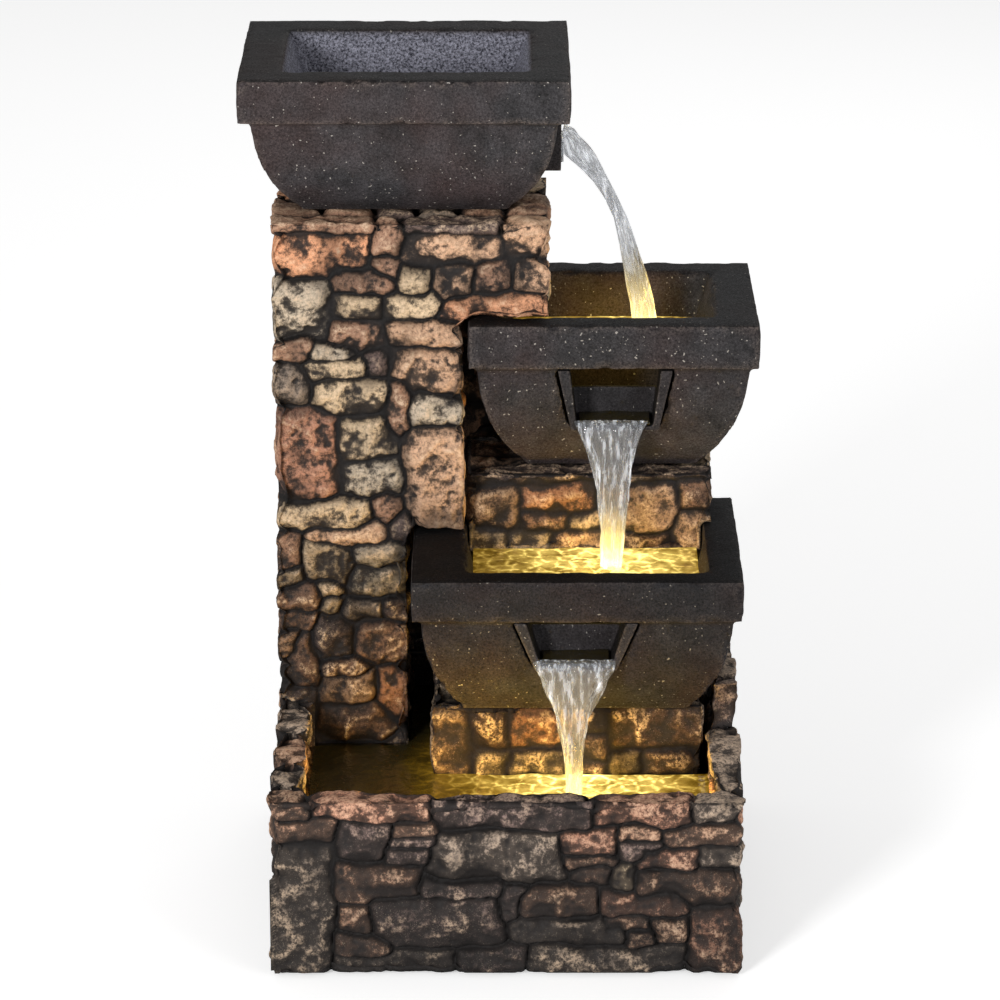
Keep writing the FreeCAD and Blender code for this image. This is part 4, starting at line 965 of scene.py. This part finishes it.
def pool_material(name, lamp, reach, strength):
    """Water over an underwater light: dark and glossy, with yellow ripples of light around the lamp."""
    material, tree, shader = new_material(name)
    place = object_place(tree)
    away = put(tree, "VectorMath", {0: place, 1: tuple(v * MM for v in lamp)},
               operation="DISTANCE").outputs["Value"]
    broad = noise_value(tree, place, 90, 3, 0.6)
    web = noise_value(tree, place, 300, 3, 0.5)
    net = put(tree, "TexVoronoi", {"Vector": place, "Scale": 120, "Randomness": 1},
              feature="DISTANCE_TO_EDGE")
    lines = ramp(tree, net.outputs["Distance"], 0.16, 0.0)
    near = maths(tree, "POWER", ramp(tree, away, reach * MM, 0.0), 1.6)
    ripples = weighted(tree, ramp(tree, broad, 0.3, 0.65, 0.25, 0.9),
                       (lines, ramp(tree, web, 0.4, 0.6, 0.1, 0.9)))
    shine = times(tree, near, ripples)
    warm = blend_colours(tree, ramp(tree, shine, 0.1, 0.9), (0.45, 0.24, 0.015), (1.0, 0.78, 0.22))
    fill(tree, shader, {
        "Emission Color": bright(tree, warm, shine), "Emission Strength": strength,
        "Base Color": blend_colours(tree, broad, (0.012, 0.01, 0.004), (0.05, 0.038, 0.01)),
        "Roughness": ramp(tree, web, 0.3, 0.7, 0.04, 0.16)})
    roughen(tree, shader, maths(tree, "ADD", broad, web), 0.5, 1.0)
    return material


def bisect(bm, point, direction):
    """Cut every face along a plane, and keep both sides."""
    everything = bm.verts[:] + bm.edges[:] + bm.faces[:]
    bmesh.ops.bisect_plane(bm, geom=everything, plane_co=point, plane_no=direction)


def show_water(name, bm, material):
    bmesh.ops.recalc_face_normals(bm, faces=bm.faces[:])
    piece = mesh_object(name, bm)
    shade_smooth(piece)
    piece.data.materials.append(material)
    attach(piece, "fountain")


def water_stream(name, rings, material, seed):
    """Falling water as a closed ribbon through rings from the top down.

    A ring gives its height, its middle across and along, and its half width across and along.
    """
    rings = np.array(rings, dtype=float)[::-1]
    bm = bmesh.new()
    bmesh.ops.create_cone(bm, cap_ends=True, segments=72, radius1=1, radius2=1, depth=1)
    steps = 90
    for step in range(1, steps):
        bisect(bm, (0, 0, step / steps - 0.5), (0, 0, 1))
    spots = np.array([vert.co[:] for vert in bm.verts])
    level = rings[0, 0] + (spots[:, 2] + 0.5) * (rings[-1, 0] - rings[0, 0])
    across, along, half_across, half_along = [np.interp(level, rings[:, 0], rings[:, k]) for k in range(1, 5)]
    around = np.stack([spots[:, 0] * 2.2, spots[:, 1] * 2.2, level * 0.022], axis=1)
    strands = 1 + STRAND_DEPTH * field(around, 0.42, seed)
    wander = field(np.stack([level * 0.06, level * 0, level * 0], axis=1), 1, seed + 1)
    moved = np.stack([across + wander * 0.5 + spots[:, 0] * half_across * strands,
                      along + spots[:, 1] * half_along * strands, level], axis=1)
    for vert, spot in zip(bm.verts, moved):
        vert.co = Vector(spot) * MM
    show_water(name, bm, material)


def pool(name, across, along, level, thick, material, holes=(), foot=None, seed=1):
    """A closed slab of water with a rippled top, holes cut in it, and rings round a stream's foot."""
    (left, right), (front, back) = across, along
    bm = bmesh.new()
    bmesh.ops.create_grid(bm, x_segments=70, y_segments=50, size=0.5)
    for vert in bm.verts:
        share_x, share_y = vert.co.x + 0.5, vert.co.y + 0.5
        vert.co = Vector((left + share_x * (right - left), front + share_y * (back - front), 0))
    for x, y in holes:
        for point, direction in (((x[0], 0, 0), (1, 0, 0)), ((x[1], 0, 0), (1, 0, 0)),
                                 ((0, y[0], 0), (0, 1, 0)), ((0, y[1], 0), (0, 1, 0))):
            bisect(bm, point, direction)
        middles = [(face, face.calc_center_median()) for face in bm.faces]
        gone = [face for face, spot in middles if x[0] < spot.x < x[1] and y[0] < spot.y < y[1]]
        bmesh.ops.delete(bm, geom=gone, context="FACES")
    under = bmesh.ops.extrude_face_region(bm, geom=bm.faces[:])
    lowered = [item for item in under["geom"] if isinstance(item, bmesh.types.BMVert)]
    bmesh.ops.translate(bm, verts=lowered, vec=(0, 0, -thick))
    spots = np.array([vert.co[:] for vert in bm.verts])
    swell = 0.45 * field(spots, 16, seed) + 0.2 * field(spots, 5, seed + 1, 1)
    if foot:
        distance = np.hypot(spots[:, 0] - foot[0], spots[:, 1] - foot[1])
        swell += 0.9 * np.cos(distance * 1.1) * np.exp(-distance / 9)
    top = spots[:, 2] > -0.1
    for vert, is_top, rise in zip(bm.verts, top, swell):
        vert.co = Vector((vert.co.x, vert.co.y, level + vert.co.z + (rise if is_top else 0))) * MM
    show_water(name, bm, material)


def inside_bowl(node, rims, slope, depth, drop):
    """Limits across and along of a bowl's hopper, a drop below its rim. Rims: left, right, front, back."""
    low, high = in_mm(node)
    taper = slope * drop / depth
    return ((low.x + rims[0] + taper, high.x - rims[1] - taper),
            (low.y + rims[2] + taper, high.y - rims[3] - taper))


def make_pools():
    basin_low, basin_high = in_mm("base_basin")
    block_low = in_mm("lower_bowl_support")[0]
    pillar_front = in_mm("stone_pillar")[0].y
    lamp = in_mm("base_light_lens")[1]
    lit = pool_material("basin water", (lamp.x - 5, lamp.y + 14, BASIN_WATER), 92, 3.0)
    block_place = ((block_low.x + 2, 200), (block_low.y + 2, 200))
    pillar_place = ((-200, -44.5), (pillar_front + 2, 200))
    pool("basin_pool", (basin_low.x + 15.5, basin_high.x - 14), (basin_low.y + 15, basin_high.y - 11),
         BASIN_WATER, 2, lit, holes=(block_place, pillar_place), foot=(33.5, -67.8), seed=3)
    across, along = inside_bowl("lower_bowl", (26, 16.7, 15, 42.5), 15, 62.5, 12.5)
    lit = pool_material("lower bowl water", (48, 2, LOWER_WATER), 95, 2.2)
    pool("lower_bowl_pool", (across[0] - 0.6, across[1] + 0.6), (along[0] - 0.6, 18.5), LOWER_WATER, 1.2, lit,
         foot=(51.6, -7.2), seed=5)
    across, along = inside_bowl("middle_bowl", (15, 20.4, 15.7, 16), 22, 68, 21)
    lit = pool_material("middle bowl water", (58, 62, MIDDLE_WATER), 75, 2.2)
    pool("middle_bowl_pool", (across[0] - 0.6, across[1] + 0.6), (along[0] - 0.6, along[1] + 0.6),
         MIDDLE_WATER, 2, lit, foot=(69.2, 58.5), seed=7)
    across, along = inside_bowl("upper_bowl", (20, 18.5, 19.4, 20.6), 28, 58.5, 48)
    still = pool_material("top bowl water", (-43, 58, 300), 40, 0.5)
    pool("top_bowl_pool", (across[0] - 0.4, across[1] + 0.4), (along[0] - 0.4, along[1] + 0.4), TOP_WATER, 2,
         still, seed=9)


def make_streams():
    """Each stream, with the water in the spout that it leaves. It draws in as it falls."""
    clear = falling_water_material("top stream water", MIDDLE_WATER, 352)
    water_stream("top_stream", [
        (352, 30, 58.5, 1, 10), (350, 31.5, 58.5, 3, 12), (346, 33, 58.5, 4.8, 13),
        (342, 35, 58.5, 6.2, 13), (338, 38.5, 58.5, 5.6, 12.5), (334, 42, 58.5, 4.4, 12),
        (328, 46.3, 58.5, 3.4, 11), (320, 50.8, 58.5, 2.9, 10), (310, 55.4, 58.5, 3, 9),
        (297, 59.4, 58.5, 3.6, 8), (283, 63.1, 58.5, 4.5, 7), (268, 66.4, 58.5, 5.3, 6.5),
        (252, 69.2, 58.5, 5.9, 6.2)], clear, 11)
    pool("top_spout_water", (7, 29), (46.5, 70.5), 348, 8.5, clear, seed=13)
    clear = falling_water_material("middle stream water", LOWER_WATER, 227)
    water_stream("middle_stream", [
        (227, 51.5, 4.5, 15.5, 0.8), (226, 51.5, 3.2, 15.3, 1.5), (224, 51.3, 2, 14.2, 1.6),
        (219, 51, 0.8, 12.6, 1.6), (213, 51, -0.4, 11, 1.7), (204, 51.5, -1.8, 8.8, 1.9),
        (194, 52, -3.2, 7, 2.2), (186, 52, -4.2, 6, 2.5), (174, 51.8, -5.6, 5, 2.8),
        (164, 51.6, -6.6, 4.4, 3), (158.5, 51.6, -7.2, 4.4, 3)], clear, 17)
    shaded = pool_material("shaded spout water", (0, 0, 0), 10, 0.5)
    pool("middle_spout_water", (36.5, 69), (4.5, 20.5), 226.2, 1.2, shaded, seed=15)
    clear = falling_water_material("lower stream water", BASIN_WATER, 132)
    water_stream("lower_stream", [
        (132, 33.5, -57, 16.5, 0.8), (131, 33.5, -58.4, 16.8, 1.5), (128, 33.4, -60, 16, 1.7),
        (123, 33.2, -61.2, 13.4, 1.7), (115, 33, -62.4, 10, 1.8), (106, 33.1, -63.6, 7.4, 2),
        (96, 33.2, -64.8, 5.2, 2.4), (85, 33.4, -66, 4, 2.7), (74, 33.5, -67, 3.4, 2.8),
        (63.5, 33.5, -67.8, 3.2, 2.8)], clear, 19)
    pool("lower_spout_water", (19, 49.5), (-57.5, -41.5), 131.2, 1.2, shaded, seed=21)


def make_glow():
    glow_light("basin glow", (-8, -88, BASIN_WATER + 12), 0.42)
    glow_light("basin glow right", (62, -86, BASIN_WATER + 12), 0.14)
    glow_light("lower bowl glow", (46, -22, LOWER_WATER + 6), 0.13)
    glow_light("middle bowl glow", (52, 62, MIDDLE_WATER + 5), 0.045)


# ---------------------------------------------------------------- fittings

# For each material slot: the finish's name, its colour in everyday values, its roughness and its dust.
FITTINGS = {
    "panel_resin": ("access panel", (72, 60, 52), 0.6, 0.35),
    "foot_rubber": ("foot rubber", (34, 34, 36), 0.7, 0.3),
    "gland_rubber": ("gland rubber", (30, 30, 32), 0.6, 0.25),
    "lead_jacket": ("lead jacket", (26, 26, 28), 0.5, 0.15),
    "pump_plastic": ("pump housing", (36, 38, 42), 0.38, 0.2),
    "cover_plastic": ("pump cover", (44, 47, 52), 0.42, 0.2),
    "dial_plastic": ("flow dial", (190, 192, 196), 0.4, 0.2),
    "rotor_plastic": ("rotor", (214, 212, 204), 0.4, 0.15),
    "ceramic_shaft": ("ceramic shaft", (236, 234, 226), 0.2, 0.05),
    "bush_rubber": ("shaft bush", (40, 40, 42), 0.6, 0.1),
    "seal_rubber": ("pump seal", (30, 30, 30), 0.6, 0.1),
    "coil_resin": ("potted coil", (28, 26, 24), 0.3, 0.15),
    "cup_rubber": ("suction cup", (48, 48, 50), 0.35, 0.2),
    "hose_vinyl": ("riser hose", (170, 172, 160), 0.3, 0.2),
    "clip_steel": ("spring steel", (176, 176, 178), 0.25, 0.1),
    "fitting_plastic": ("inlet fitting", (40, 40, 43), 0.4, 0.2),
    "lamp_plastic": ("lamp housing", (38, 38, 40), 0.4, 0.3),
    "lamp_board": ("lamp board", (226, 226, 220), 0.4, 0.05),
    "lamp_lens": ("lamp lens", (240, 222, 160), 0.12, 0.1),
    "splice_resin": ("splice box", (40, 40, 44), 0.45, 0.2),
}


def finish_fittings():
    finishes = {}
    for slot, (name, colour, rough, dust) in FITTINGS.items():
        metal = 1.0 if slot == "clip_steel" else 0.0
        finishes[slot] = moulded_material(name, linear(*colour), rough, dust, metal)
    for entry in frame["record"]["subparts"]:
        chosen = finishes.get(entry["material_slot"])
        if chosen:
            mesh = frame["nodes"][entry["node"]].data
            for index in range(len(mesh.materials)):
                mesh.materials[index] = chosen


make_camera()
make_studio()
make_basin()
make_pillar()
make_block("lower_bowl_support", LOWER_BLOCK_STONES, 31, "lower_block_stone")
make_block("middle_bowl_support", MIDDLE_BLOCK_STONES, 37, "middle_block_stone")
# The last value is each bowl's painted light level: the lower bowl darkened as in shade, the upper one
# lightened as lit.
make_bowl("lower_bowl", "lower_slate_bowl", 41, False, 0.62)
make_bowl("middle_bowl", "middle_slate_bowl", 43, False, 1.08)
make_bowl("upper_bowl", "top_slate_bowl", 47, True, 1.25)
make_spout("lower_spout", "lower_cast_spout")
make_spout("middle_spout", "middle_cast_spout")
make_spout("upper_spout", "top_cast_spout")
make_pools()
make_streams()
make_glow()
finish_fittings()
